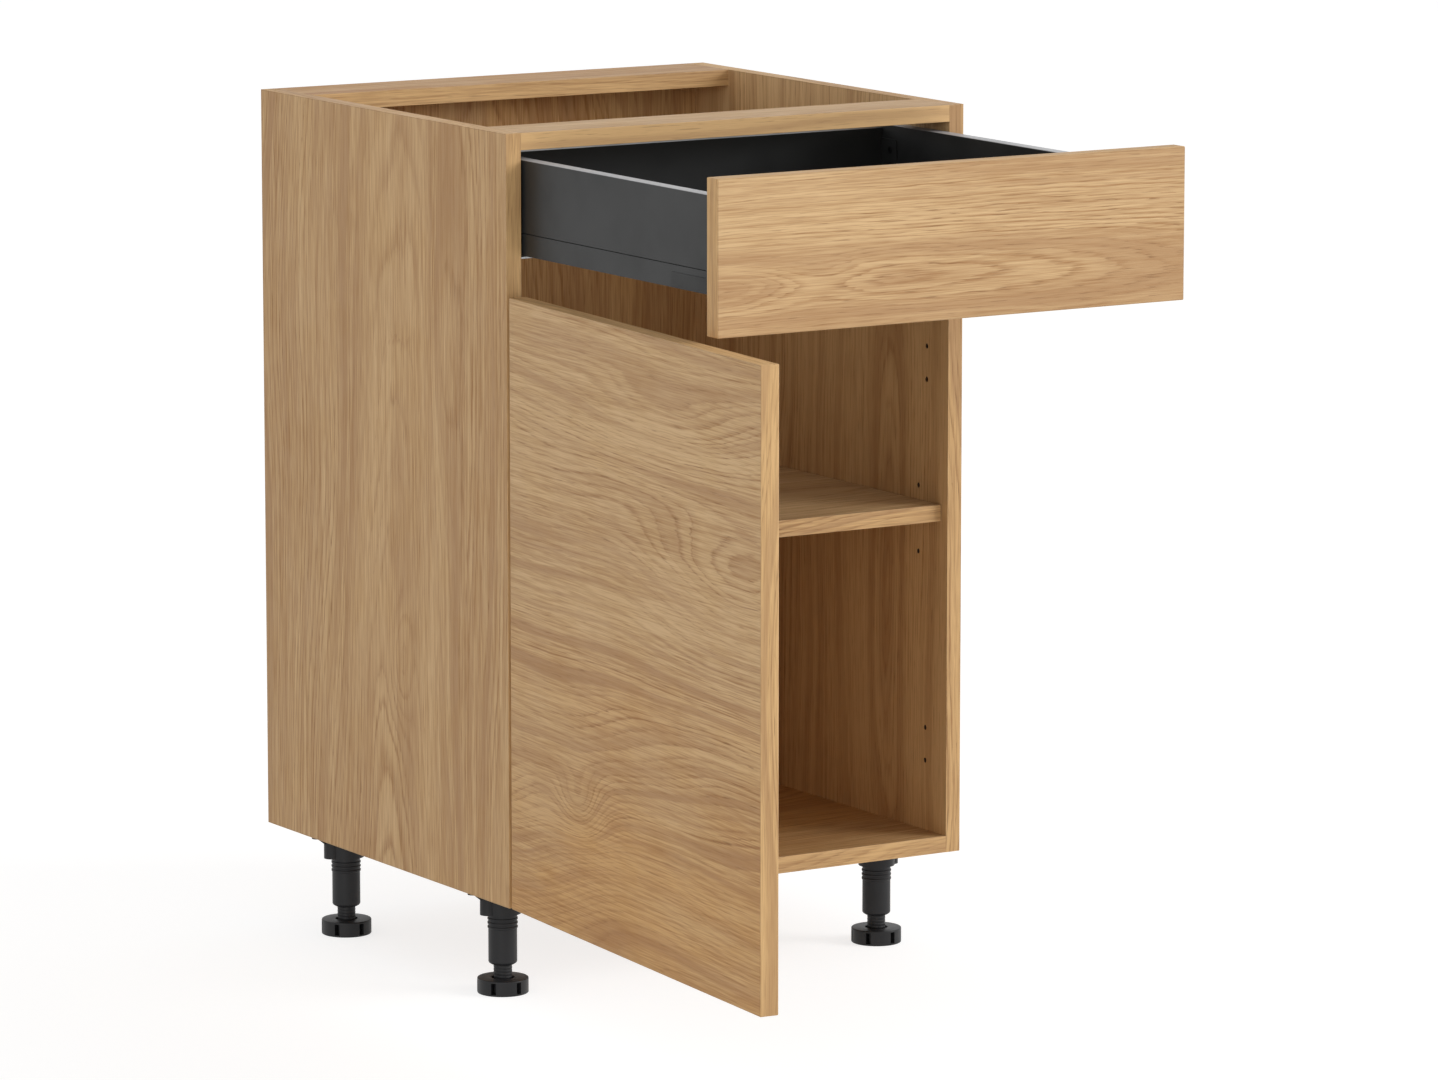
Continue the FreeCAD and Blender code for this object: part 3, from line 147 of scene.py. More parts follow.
# Screws: the CAD node, the line it is driven along, the body it rides on
SCREWS = {
    "hinge_plate_screws": ((1, 0, 0), "carcass"),
    "runner_screws": ((1, 0, 0), "carcass"),
    "leg_screws": ((0, 0, 1), "carcass"),
    "hinge_cup_screws": (DOOR_THROUGH, "door"),
    "drawer_bottom_screws": ((0, 0, 1), "drawer"),
    "drawer_front_screws": ((0, 1, 0), "drawer"),
    "drawer_back_screws": ((1, 0, 0), "drawer"),
}
BLACK_SCREWS = ("leg_screws", "drawer_back_screws")
SCREW_SIDES = 40
THREAD_PITCH = 0.0014
THREAD_DEPTH = 0.0004
THREAD_STEPS = 4
THREAD_CREST_SHARE = 0.25
TIP_SHARE = 0.35
RECESS_ARM = 0.00050
RECESS_REACH = 0.0019
RECESS_DEPTH = 0.0011
HEAD_EDGE = 0.0001
# Rings of points over a screw's top, as shares of its head's radius
HEAD_RING_SHARES = (0.02, 0.10, 0.18, 0.26, 0.34, 0.42, 0.50, 0.58, 0.75, 0.96)
# A solid's points within this share of its largest radius are its head, and those within this
# length of its far end its shank; a head thinner than the least is taken as countersunk
HEAD_SHARE = 0.98
SHANK_REACH = 0.001
LEAST_HEAD = 0.0005
COUNTERSUNK_HEAD = 0.0015

# Edges sharper than this aren't smoothed, and points that agree to so many digits are one
SHARP_EDGE = math.radians(35)
PLACE_DIGITS = 6

# Levelling foot
FOOT_SIDES = 96
FOOT_DISC = 0.0145
FOOT_ROUND = 0.0009
FOOT_RECESS = 0.0020
FOOT_RECESS_RADIUS = 0.0110
FOOT_SLOTS = 6
FOOT_SLOT_HALF = 0.0023
FOOT_SLOT_DEPTH = 0.0070
FOOT_SLOT_MARGIN = 0.0018
FOOT_SLOT_START = math.radians(38.5)
FOOT_SLOT_EDGE = math.radians(0.4)
FOOT_SLOPE = 0.0002
FOOT_ROUND_STEPS = 4
CENTRE_SHARE = 0.1
# Digits that an angle is rounded to, so that none comes twice
ANGLE_DIGITS = 5
SPINDLE_RADIUS = 0.0088
SPINDLE_PITCH = 0.0030
SPINDLE_THREAD = 0.0002
SPINDLE_CHAMFER = 0.0015
SPINDLE_START = 0.0004
SPINDLE_STEPS = 6

# The photograph's camera
CAMERA_PLACE = (-3.5826, -6.2275, 1.4397)
CAMERA_YAW = math.radians(31.735)
CAMERA_PITCH = math.radians(9.343)
CAMERA_LENS = 183.79
CAMERA_SENSOR = 36.0
CAMERA_REACH = 200.0

# Studio: the lamps' places, the point that they face and the length of their sides, and the
# floor's reach, colour and glow as the camera and mirrors see it
FRONT_LAMP = (5.7, -5.2, 3.3)
SIDE_LAMP = (-5.7, -5.7, 1.2)
LAMP_AIM = (0, -0.4, 0.3)
LAMP_SIZE = 3.5
FLOOR_REACH = 30.0
FLOOR_SEEN = (0.40, 0.40, 0.40)
FLOOR_GLOW = (0.76, 0.76, 0.76)

# Faces of a board: the least part of an axis in the direction of a face that looks along it. The
# grain of the edge bands is read this far from the faces' own, and squeezed across the board.
FACING_LIMIT = 0.7
SIDE_BAND_SHIFT = 3.1
END_BAND_SHIFT = 5.3
BAND_ACROSS_SHARE = 0.1
# From where to where, in from an edge: wear and a painted highlight, the seam about the band's
# thickness, bare core darkened with painted shade
EDGE_WEAR_AND_HIGHLIGHT = (0.0002, 0.0022)
BAND_THICKNESS = 0.0008
SEAM_REACH = (0.0001, 0.0003)
CORE_AND_SHADE_REACH = (0.0003, 0.0007)

# Noises: features per metre along and across, detail and roughness
NOISES = {
    "wander": (1.6, 5.0, 1.0, 0.4),
    "wobble": (4.0, 24.0, 2.0, 0.5),
    "feather": (26.0, 480.0, 2.0, 0.5),
    "clear": (2.6, 9.0, 2.0, 0.5),
    "patch": (3.0, 12.0, 2.0, 0.5),
    "broad": (1.3, 13.0, 2.0, 0.55),
    "cord": (4.0, 150.0, 2.0, 0.5),
    "fibre": (9.0, 460.0, 2.0, 0.6),
    "thread": (26.0, 800.0, 1.0, 0.5),
    "pores": (42.0, 900.0, 1.0, 0.5),
    "chips": (60.0, 60.0, 4.0, 0.6),
    "smudge": (14.0, 14.0, 4.0, 0.6),
    "skin_tone": (18.0, 18.0, 3.0, 0.5),
    "cloud": (45.0, 45.0, 4.0, 0.6),
}
# Where a noise is cut off at its low and high end, and what these ends become if not 0 and 1
CUTS = {
    "clear": (0.36, 0.62, 0.40, 1.15),
    "patch": (0.35, 0.65, 0.45, 1.25),
    "broad": (0.34, 0.66),
    "cord": (0.34, 0.66),
    "fibre": (0.34, 0.66),
    "thread": (0.36, 0.64),
    "pores": (0.56, 0.66),
    "chips": (0.35, 0.65),
    "smudge": (0.42, 0.68, -0.03, 0.05),
    "skin_tone": (0.35, 0.70),
    "cloud": (0.35, 0.70, 0.0, 0.25),
}
SEED_SHIFT = (1.7, 3.1, 0.7)
WOBBLE_REACH = 0.011
FEATHER_REACH = 0.0028
HEART_REACH = (0.10, 0.40)
# Rings: good and bad years along the radius and how far they shift a ring, the share of a year
# in which its line rises and fades, how faint a line may be, and how little pores show off it
SEASONS_PER_METRE = 42.0
SEASON_SHIFT = 2.0
LINE_RISE = (0.86, 1.0)
LINE_FADE = (0.0, 0.42)
FAINTEST_LINE = 0.25
LEAST_PORES = 0.15
# Reddish zones along the radius, their cut, and how strong they are alone and with broad tones
ZONES_PER_METRE = 48.0
ZONE_CUT = (0.44, 0.66)
ZONE_SHARE = 0.20
ZONE_BROAD_SHARE = 0.55
# How dark each layer of the oak is, as a share of the way from pale wood to ring lines
RING_SHARE = 0.54
HEART_RING_SHARE = 0.25
LAYER_SHARES = {"broad": 0.25, "cord": 0.15, "fibre": 0.35, "thread": 0.34}
PORE_SHARE = 0.6
# Roughness of plain oak and what fibres and pores add; height of pores and threads
OAK_ROUGHNESS = 0.54
FIBRE_ROUGHNESS = 0.08
PORE_ROUGHNESS = 0.14
PORE_HEIGHT = -0.8
THREAD_HEIGHT = 0.35
OAK_SPECULAR = 0.40
# Share of the pale edges, wear and a painted highlight, of the dark seam line, and how much glossier
# worn places are
OAK_WEAR_AND_HIGHLIGHT = 0.30
SEAM_SHARE = 0.5
WORN_ROUGHNESS = -0.08

# Moulded and coated skins: fineness, roughness, and the share of the finish's colour in the skin
# and in its specks; the beech has specks in a colour of their own
Skin = namedtuple("Skin", "fineness roughness base_share speck_share")
SKINS = {
    "painted_steel": Skin(1400.0, 0.34, 1.0, 1.5),
    "cap_plastic": Skin(2200.0, 0.42, 0.9, 1.6),
    "drawer_board": Skin(2600.0, 0.50, 0.9, 1.8),
    "cast_zinc": Skin(900.0, 0.38, 0.7, 0.45),
    "beech": Skin(700.0, 0.55, 1.0, None),
    "leg_plastic": Skin(1800.0, 0.40, 1.0, 1.8),
}
SMOOTH_RELIEF = 0.00002
MOULDED_RELIEF = 0.00003
WOOD_RELIEF = 0.00005
PLATE_RELIEF = 0.000002
SKIN_SPECULAR = 0.30
SKIN_WEAR = 0.2
# Specks and broad tones in a skin's colour, and what its texture adds to roughness and height
SPECK_AMOUNT = 0.4
SPECK_CUT = (0.45, 0.75)
TONE_SHARE = 0.25
TONE_GLOSS_CUT = (0.3, 0.7, -0.05, 0.05)
PEEL_ROUGHNESS = 0.16
CELLS = 2.3
CELL_HEIGHT = 0.5
# Rolled plate: streaks per metre on each axis and how dull they are, the roughness of clean and
# dull places, and the share of the plate's colour in dull places and on blackened screws
STREAKS_PER_METRE = (900, 30, 900)
STREAK_SHARE = 0.35
PLATE_ROUGHNESS = 0.38
DULL_ROUGHNESS = 0.20
DULL_SHARE = 0.8
BLACK_SHARE = 0.08
# Detail and roughness of the noise in skins and plates
FINE_DETAIL = (3.0, 0.6)
# The painted highlight along the upper edge of a steel side: how far a face looks up, and how far below
# the top it lies
HIGHLIGHT_FACING = (0.25, 0.75)
HIGHLIGHT_DEPTHS = (0.004, 0.002)


class OakFinish(bpy.types.PropertyGroup):
    pale: bpy.props.FloatVectorProperty(
        name="Pale wood", description="Colour between the rings", subtype="COLOR", size=3,
        min=0, max=1, default=(0.640, 0.427, 0.214))
    edging: bpy.props.FloatVectorProperty(
        name="Edge bands", description="Colour between the rings on the edge bands", subtype="COLOR",
        size=3, min=0, max=1, default=(0.655, 0.410, 0.180))
    # Colour of the pressed-chip core, darkened as painted shade inside holes and grooves
    core: bpy.props.FloatVectorProperty(
        name="Board core", description="Pressed chips that show inside holes and grooves",
        subtype="COLOR", size=3, min=0, max=1, default=(0.080, 0.048, 0.026))
    brown: bpy.props.FloatVectorProperty(
        name="Ring lines", description="Colour of the rings", subtype="COLOR", size=3,
        min=0, max=1, default=(0.365, 0.190, 0.070))
    red: bpy.props.FloatVectorProperty(
        name="Heart wood", description="Reddish zones that follow the rings", subtype="COLOR",
        size=3, min=0, max=1, default=(0.400, 0.222, 0.096))
    warm: bpy.props.FloatVectorProperty(
        name="Warm tint", description="Tint of the wood near the heart of the log", subtype="COLOR",
        size=3, min=0, max=1, default=(0.940, 0.815, 0.610))
    pore: bpy.props.FloatVectorProperty(
        name="Pores", description="Colour of the open pores", subtype="COLOR", size=3,
        min=0, max=1, default=(0.200, 0.098, 0.036))
    ring: bpy.props.FloatProperty(
        name="Ring width", description="Usual distance between two rings", unit="LENGTH",
        min=0.001, max=0.02, default=0.0054)
    wave: bpy.props.FloatProperty(
        name="Waviness", description="How much of each board's own wander is used",
        min=0, max=2, default=1.0)
    relief: bpy.props.FloatProperty(
        name="Relief", description="Depth of the pressed pores", unit="LENGTH",
        min=0, max=0.001, default=0.00012)


class MetalFinish(bpy.types.PropertyGroup):
    paint: bpy.props.FloatVectorProperty(
        name="Drawer paint", description="Powder coat of the drawer sides", subtype="COLOR",
        size=3, min=0, max=1, default=(0.0195, 0.0203, 0.0203))
    # Pale colour painted along the drawer sides' upper edge as a highlight
    rim: bpy.props.FloatVectorProperty(
        name="Drawer rim", description="Polished upper edge of the drawer sides", subtype="COLOR",
        size=3, min=0, max=1, default=(0.42, 0.42, 0.43))
    zinc: bpy.props.FloatVectorProperty(
        name="Zinc plate", description="Runners and screws", subtype="COLOR", size=3,
        min=0, max=1, default=(0.50, 0.51, 0.52))
    nickel: bpy.props.FloatVectorProperty(
        name="Nickel plate", description="Hinges", subtype="COLOR", size=3,
        min=0, max=1, default=(0.62, 0.60, 0.57))
    peel: bpy.props.FloatProperty(
        name="Paint texture", description="Height of the powder coat's texture", unit="LENGTH",
        min=0, max=0.001, default=0.00003)


class LegFinish(bpy.types.PropertyGroup):
    plastic: bpy.props.FloatVectorProperty(
        name="Leg plastic", description="Black moulded plastic", subtype="COLOR", size=3,
        min=0, max=1, default=(0.012, 0.012, 0.013))
    thread_pitch: bpy.props.FloatProperty(
        name="Spindle pitch", description="Distance between two turns of the foot's thread",
        unit="LENGTH", min=0.001, max=0.006, default=SPINDLE_PITCH)


class Studio(bpy.types.PropertyGroup):
    sky: bpy.props.FloatProperty(
        name="Soft light", description="Even light from all round", min=0, max=2, default=0.76)
    ceiling: bpy.props.FloatProperty(
        name="Ceiling", description="Light from straight above as a share of the light from the sides",
        subtype="FACTOR", min=0, max=1, default=0.70)
    key: bpy.props.FloatProperty(
        name="Front lamp", description="Power of the large lamp in front", unit="POWER",
        min=0, max=2000, default=315)
    fill: bpy.props.FloatProperty(
        name="Side lamp", description="Power of the lamp on the left as a share of the front lamp's",
        subtype="FACTOR", min=0, max=1, default=0.28)
    floor: bpy.props.FloatVectorProperty(
        name="Floor", description="Floor colour", subtype="COLOR", size=3, min=0, max=1,
        default=(0.90, 0.90, 0.90))


# A Mix node's two inputs and its output, by their places, for each kind of data
MIX_SOCKETS = {"FLOAT": (2, 3, 0), "VECTOR": (4, 5, 1), "RGBA": (6, 7, 2)}


class ShaderTree:
    """Adds nodes to a shader tree and joins them by the names of their sockets."""

    def __init__(self, tree):
        self.tree = tree

    def add(self, kind, sockets=None, **settings):
        made = self.tree.nodes.new("ShaderNode" + kind)
        for name, value in settings.items():
            setattr(made, name, value)
        for name, value in (sockets or {}).items():
            socket = made.inputs[name]
            if isinstance(value, bpy.types.NodeSocket):
                self.tree.links.new(value, socket)
            else:
                socket.default_value = value
        return made

    def place(self, group, sockets):
        return self.add("Group", sockets, node_tree=group).outputs

    def maths(self, operation, *values):
        return self.add("Math", dict(enumerate(values)), operation=operation).outputs[0]

    def vector(self, operation, *values):
        return self.add("VectorMath", dict(enumerate(values)), operation=operation).outputs[0]

    def split(self, vector):
        return self.add("SeparateXYZ", {"Vector": vector}).outputs

    def join(self, x, y, z):
        return self.add("CombineXYZ", {"X": x, "Y": y, "Z": z}).outputs[0]

    def noise(self, place, detail, roughness):
        sockets = {"Vector": place, "Scale": 1.0, "Detail": detail, "Roughness": roughness}
        return self.add("TexNoise", sockets).outputs["Fac"]

    def figure(self, place, name):
        """One of the noises by name; its blobs are long along X where it has fewer there."""
        along, across, detail, roughness = NOISES[name]
        return self.noise(self.vector("MULTIPLY", place, (along, across, across)), detail, roughness)

    def swing(self, place, name):
        """The same noise, to both sides of zero."""
        return self.maths("SUBTRACT", self.figure(place, name), 0.5)

    def pattern(self, place, name):
        """The same noise, cut off at its own low and high end."""
        return self.ramp(self.figure(place, name), *CUTS[name])

    def ramp(self, value, low, high, to_low=0.0, to_high=1.0):
        sockets = {
            "Value": value, "From Min": low, "From Max": high, "To Min": to_low, "To Max": to_high,
        }
        return self.add("MapRange", sockets, interpolation_type="SMOOTHSTEP").outputs[0]

    def mix(self, kind, factor, a, b, **settings):
        first, second, result = MIX_SOCKETS[kind]
        sockets = {"Factor": factor, first: a, second: b}
        return self.add("Mix", sockets, data_type=kind, **settings).outputs[result]

    def blend(self, factor, a, b):
        return self.mix("FLOAT", factor, a, b)

    def tint(self, factor, a, b, how="MIX"):
        return self.mix("RGBA", factor, a, b, blend_type=how)

    def choose(self, factor, a, b):
        return self.mix("VECTOR", factor, a, b)


SOCKETS = {"value": "NodeSocketFloat", "vector": "NodeSocketVector", "colour": "NodeSocketColor"}


def new_group(name, takes, gives):
    """An empty shader group, with its input sockets by name and its output sockets by name."""
    group = bpy.data.node_groups.new(name, "ShaderNodeTree")
    for label, kind in takes:
        group.interface.new_socket(name=label, in_out="INPUT", socket_type=SOCKETS[kind])
    for label, kind in gives:
        group.interface.new_socket(name=label, in_out="OUTPUT", socket_type=SOCKETS[kind])
    source = group.nodes.new("NodeGroupInput")
    sink = group.nodes.new("NodeGroupOutput")

    def finish(results):
        for label, socket in results.items():
            group.links.new(socket, sink.inputs[label])

    return group, ShaderTree(group), source.outputs, finish


def board_faces_group():
    """Tells a board's faces from its edge bands: the place to read the grain at, and masks."""
    takes = [("Place", "vector"), ("Facing", "vector"), ("Size", "vector")]
    gives = [
        ("Grain Place", "vector"), ("Band", "value"), ("Edge", "value"), ("Seam", "value"),
        ("Bored", "value"),
    ]
    group, tree, given, finish = new_group("Board Faces", takes, gives)
    along, across, through = tree.split(given["Place"])
    facing = tree.split(tree.vector("ABSOLUTE", given["Facing"]))
    on_end = tree.maths("GREATER_THAN", facing[0], FACING_LIMIT)
    on_side = tree.maths("GREATER_THAN", facing[1], FACING_LIMIT)
    side_through = tree.maths("ADD", through, SIDE_BAND_SHIFT)
    side_place = tree.join(along, side_through, tree.maths("MULTIPLY", across, BAND_ACROSS_SHARE))
    end_through = tree.maths("ADD", through, END_BAND_SHIFT)
    end_place = tree.join(across, end_through, tree.maths("MULTIPLY", along, BAND_ACROSS_SHARE))
    place = tree.choose(on_side, given["Place"], side_place)
    place = tree.choose(on_end, place, end_place)
    other = tree.split(tree.vector("SUBTRACT", given["Size"], given["Place"]))
    gaps = [tree.maths("MINIMUM", near, far) for near, far in zip((along, across, through), other)]
    low = tree.maths("MINIMUM", gaps[0], gaps[1])
    high = tree.maths("MAXIMUM", gaps[0], gaps[1])
    second = tree.maths("MAXIMUM", low, tree.maths("MINIMUM", high, gaps[2]))
    # Mask along the board's edges, for wear and a painted highlight
    edge = tree.ramp(second, *EDGE_WEAR_AND_HIGHLIGHT, 1.0, 0.0)
    band = tree.maths("MAXIMUM", on_end, on_side)
    from_seam = tree.maths("ABSOLUTE", tree.maths("SUBTRACT", low, BAND_THICKNESS))
    on_face = tree.maths("SUBTRACT", 1.0, band)
    seam = tree.maths("MULTIPLY", tree.ramp(from_seam, *SEAM_REACH, 1.0, 0.0), on_face)
    # Mask inside holes and grooves, where the core colour with its painted shade goes
    bored = tree.ramp(tree.maths("MINIMUM", low, gaps[2]), *CORE_AND_SHADE_REACH)
    finish({"Grain Place": place, "Band": band, "Edge": edge, "Seam": seam, "Bored": bored})
    return group


def ring_curl_group():
    """A knot or curl: how far it lifts the rings at a place."""
    takes = [("Place", "vector"), ("Centre", "vector"), ("Reach", "vector"), ("Lift", "value")]
    group, tree, given, finish = new_group("Ring Curl", takes, [("Lift", "value")])
    away = tree.vector("SUBTRACT", given["Place"], given["Centre"])
    away = tree.vector("DIVIDE", away, given["Reach"])
    span = tree.add("VectorMath", {0: away, 1: away}, operation="DOT_PRODUCT").outputs["Value"]
    bump = tree.maths("EXPONENT", tree.maths("MULTIPLY", span, -1.0))
    finish({"Lift": tree.maths("MULTIPLY", bump, given["Lift"])})
    return group


def oak_figure_group():
    """Sawn oak: tree rings cut at a slant, pores along them, fibres and broad tones."""
    takes = [
        ("Place", "vector"), ("Heart", "vector"), ("Lift", "value"), ("Ring Width", "value"),
        ("Waviness", "value"), ("Seed", "value"), ("Tone", "value"), ("Heart Warmth", "value"),
        ("Warm", "colour"), ("Pale", "colour"), ("Brown", "colour"), ("Red", "colour"),
        ("Pore", "colour"),
    ]
    gives = [("Color", "colour"), ("Roughness", "value"), ("Height", "value")]
    group, tree, given, finish = new_group("Oak Figure", takes, gives)
    shift = tree.add("VectorMath", {"Vector": SEED_SHIFT, "Scale": given["Seed"]}, operation="SCALE")
    seeded = tree.vector("ADD", given["Place"], shift.outputs[0])
    along, across, through = tree.split(given["Place"])
    heart_across, depth, lean = tree.split(given["Heart"])

    wander, wobble, feather = [tree.swing(seeded, name) for name in ("wander", "wobble", "feather")]
    sideways = tree.maths("SUBTRACT", across, heart_across)
    sideways = tree.maths("MULTIPLY_ADD", wander, given["Waviness"], sideways)
    deep = tree.maths("ADD", tree.maths("MULTIPLY_ADD", along, lean, depth), through)
    squares = [tree.maths("MULTIPLY", reach, reach) for reach in (sideways, deep)]
    radius = tree.maths("SQRT", tree.maths("ADD", *squares))
    radius = tree.maths("MULTIPLY_ADD", wobble, WOBBLE_REACH, radius)
    radius = tree.maths("MULTIPLY_ADD", feather, FEATHER_REACH, radius)
    radius = tree.maths("ADD", radius, given["Lift"])

    def along_radius(scale, detail):
        sockets = {"W": radius, "Scale": scale, "Detail": detail}
        return tree.add("TexNoise", sockets, noise_dimensions="1D").outputs["Fac"]

    phase = tree.maths("DIVIDE", radius, given["Ring Width"])
    seasons = along_radius(SEASONS_PER_METRE, 1.0)
    phase = tree.maths("MULTIPLY_ADD", seasons, SEASON_SHIFT, phase)
    turn = tree.maths("FRACT", phase)
    year = tree.add("TexWhiteNoise", {"W": tree.maths("FLOOR", phase)}, noise_dimensions="1D")
    rise, fade = tree.ramp(turn, *LINE_RISE), tree.ramp(turn, *LINE_FADE, 1.0, 0.0)
    ring = tree.maths("MAXIMUM", rise, fade)
    strength = year.outputs["Value"]
    strength = tree.maths("MULTIPLY_ADD", strength, 1 - FAINTEST_LINE, FAINTEST_LINE)
    ring = tree.maths("MULTIPLY", ring, strength)
    ring = tree.maths("MULTIPLY", ring, tree.pattern(seeded, "clear"))

    layers = {name: tree.pattern(seeded, name) for name in LAYER_SHARES}
    on_line = tree.maths("MULTIPLY_ADD", ring, 1 - LEAST_PORES, LEAST_PORES)
    pores = tree.maths("MULTIPLY", tree.pattern(seeded, "pores"), on_line)
    near_heart = tree.ramp(radius, *HEART_REACH, 1.0, 0.0)
    near_heart = tree.maths("MULTIPLY", near_heart, given["Heart Warmth"])
    near_heart = tree.maths("MULTIPLY", near_heart, tree.pattern(seeded, "patch"))
    ring_share = tree.maths("MULTIPLY_ADD", near_heart, HEART_RING_SHARE, RING_SHARE)
    tone = tree.maths("MULTIPLY_ADD", ring, ring_share, given["Tone"])
    for name, share in LAYER_SHARES.items():
        tone = tree.maths("MULTIPLY_ADD", layers[name], share, tone)
    tone = tree.add("Clamp", {"Value": tone}).outputs[0]
    zones = tree.ramp(along_radius(ZONES_PER_METRE, 2.0), *ZONE_CUT)
    redness = tree.maths("MULTIPLY_ADD", layers["broad"], ZONE_BROAD_SHARE, ZONE_SHARE)
    redness = tree.maths("MULTIPLY", zones, redness)
    colour = tree.tint(tone, given["Pale"], given["Brown"])
    colour = tree.tint(redness, colour, given["Red"])
    colour = tree.tint(near_heart, colour, given["Warm"], "MULTIPLY")
    colour = tree.tint(tree.maths("MULTIPLY", pores, PORE_SHARE), colour, given["Pore"])
    rough = tree.maths("MULTIPLY_ADD", layers["fibre"], FIBRE_ROUGHNESS, OAK_ROUGHNESS)
    rough = tree.maths("MULTIPLY_ADD", pores, PORE_ROUGHNESS, rough)
    height = tree.maths("MULTIPLY", layers["thread"], THREAD_HEIGHT)
    height = tree.maths("MULTIPLY_ADD", pores, PORE_HEIGHT, height)
    finish({"Color": colour, "Roughness": rough, "Height": height})
    return group


def use_marks_group():
    """Faint smudges, and lighter edges: wear from handling and a painted highlight."""
    takes = [
        ("Place", "vector"), ("Edge", "value"), ("Color", "colour"), ("Worn Color", "colour"),
        ("Roughness", "value"), ("Amount", "value"),
    ]
    gives = [("Color", "colour"), ("Roughness", "value")]
    group, tree, given, finish = new_group("Use Marks", takes, gives)
    # Edges go toward the worn colour, as wear and as a painted highlight
    chipped = tree.maths("MULTIPLY", given["Edge"], tree.pattern(given["Place"], "chips"))
    worn = tree.maths("MULTIPLY", chipped, given["Amount"])
    rough = tree.maths("ADD", given["Roughness"], tree.pattern(given["Place"], "smudge"))
    rough = tree.maths("MULTIPLY_ADD", worn, WORN_ROUGHNESS, rough)
    finish({"Color": tree.tint(worn, given["Color"], given["Worn Color"]), "Roughness": rough})
    return group


def fine_skin_group():
    """The texture of powder coat, moulded plastic or cast metal: specks, tone and height."""
    takes = [
        ("Place", "vector"), ("Fineness", "value"), ("Color", "colour"), ("Speck Color", "colour"),
        ("Speck", "value"),
    ]
    gives = [("Color", "colour"), ("Roughness", "value"), ("Height", "value")]
    group, tree, given, finish = new_group("Fine Skin", takes, gives)
    sockets = {"Vector": given["Place"], "Scale": given["Fineness"]}
    close = tree.add("VectorMath", sockets, operation="SCALE").outputs[0]
    peel = tree.noise(close, *FINE_DETAIL)
    cells = tree.add("TexVoronoi", {"Vector": close, "Scale": CELLS}).outputs["Distance"]
    amount = tree.maths("MULTIPLY", tree.ramp(peel, *SPECK_CUT), given["Speck"])
    amount = tree.maths("MULTIPLY_ADD", tree.pattern(given["Place"], "skin_tone"), TONE_SHARE, amount)
    amount = tree.add("Clamp", {"Value": amount}).outputs[0]
    colour = tree.tint(amount, given["Color"], given["Speck Color"])
    gloss = tree.ramp(tree.figure(given["Place"], "skin_tone"), *TONE_GLOSS_CUT)
    rough = tree.maths("MULTIPLY_ADD", peel, PEEL_ROUGHNESS, gloss)
    height = tree.maths("MULTIPLY_ADD", cells, CELL_HEIGHT, peel)
    finish({"Color": colour, "Roughness": rough, "Height": height})
    return group


def rolled_plate_group():
    """Rolled and plated sheet: streaks along the rolling direction, dull patches."""
    takes = [("Place", "vector"), ("Color", "colour"), ("Dull Color", "colour")]
    gives = [("Color", "colour"), ("Roughness", "value"), ("Height", "value")]
    group, tree, given, finish = new_group("Rolled Plate", takes, gives)
    rolled = tree.vector("MULTIPLY", given["Place"], STREAKS_PER_METRE)
    streak = tree.noise(rolled, *FINE_DETAIL)
    cloud = tree.pattern(given["Place"], "cloud")
    dull = tree.maths("MULTIPLY_ADD", streak, STREAK_SHARE, cloud)
    rough = tree.maths("MULTIPLY_ADD", dull, DULL_ROUGHNESS, PLATE_ROUGHNESS)
    colour = tree.tint(dull, given["Color"], given["Dull Color"])
    finish({"Color": colour, "Roughness": rough, "Height": streak})
    return group


GROUP_MAKERS = {
    "Board Faces": board_faces_group,
    "Ring Curl": ring_curl_group,
    "Oak Figure": oak_figure_group,
    "Use Marks": use_marks_group,
    "Fine Skin": fine_skin_group,
    "Rolled Plate": rolled_plate_group,
}


def shader_group(name):
    return bpy.data.node_groups.get(name) or GROUP_MAKERS[name]()


def new_material(name):
    """A material whose tree has the output and a Principled shader, joined."""
    material = bpy.data.materials.new(name)
    material.use_nodes = True
    tree = ShaderTree(material.node_tree)
    shader = material.node_tree.nodes["Principled BSDF"]
    return material, tree, shader


def join_shader(tree, shader, colour, roughness, height, depth):
    tree.tree.links.new(colour, shader.inputs["Base Color"])
    tree.tree.links.new(roughness, shader.inputs["Roughness"])
    bump = tree.add("Bump", {"Height": height, "Distance": depth, "Strength": 1.0})
    tree.tree.links.new(bump.outputs["Normal"], shader.inputs["Normal"])


def node_points(node):
    return np.array([v.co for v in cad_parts[node].data.vertices], float)


def turned_back(points, angle):
    c, s = math.cos(angle), math.sin(angle)
    return points @ np.array([[c, s, 0], [-s, c, 0], [0, 0, 1]])


def rgba(colour):
    return (*colour, 1.0)


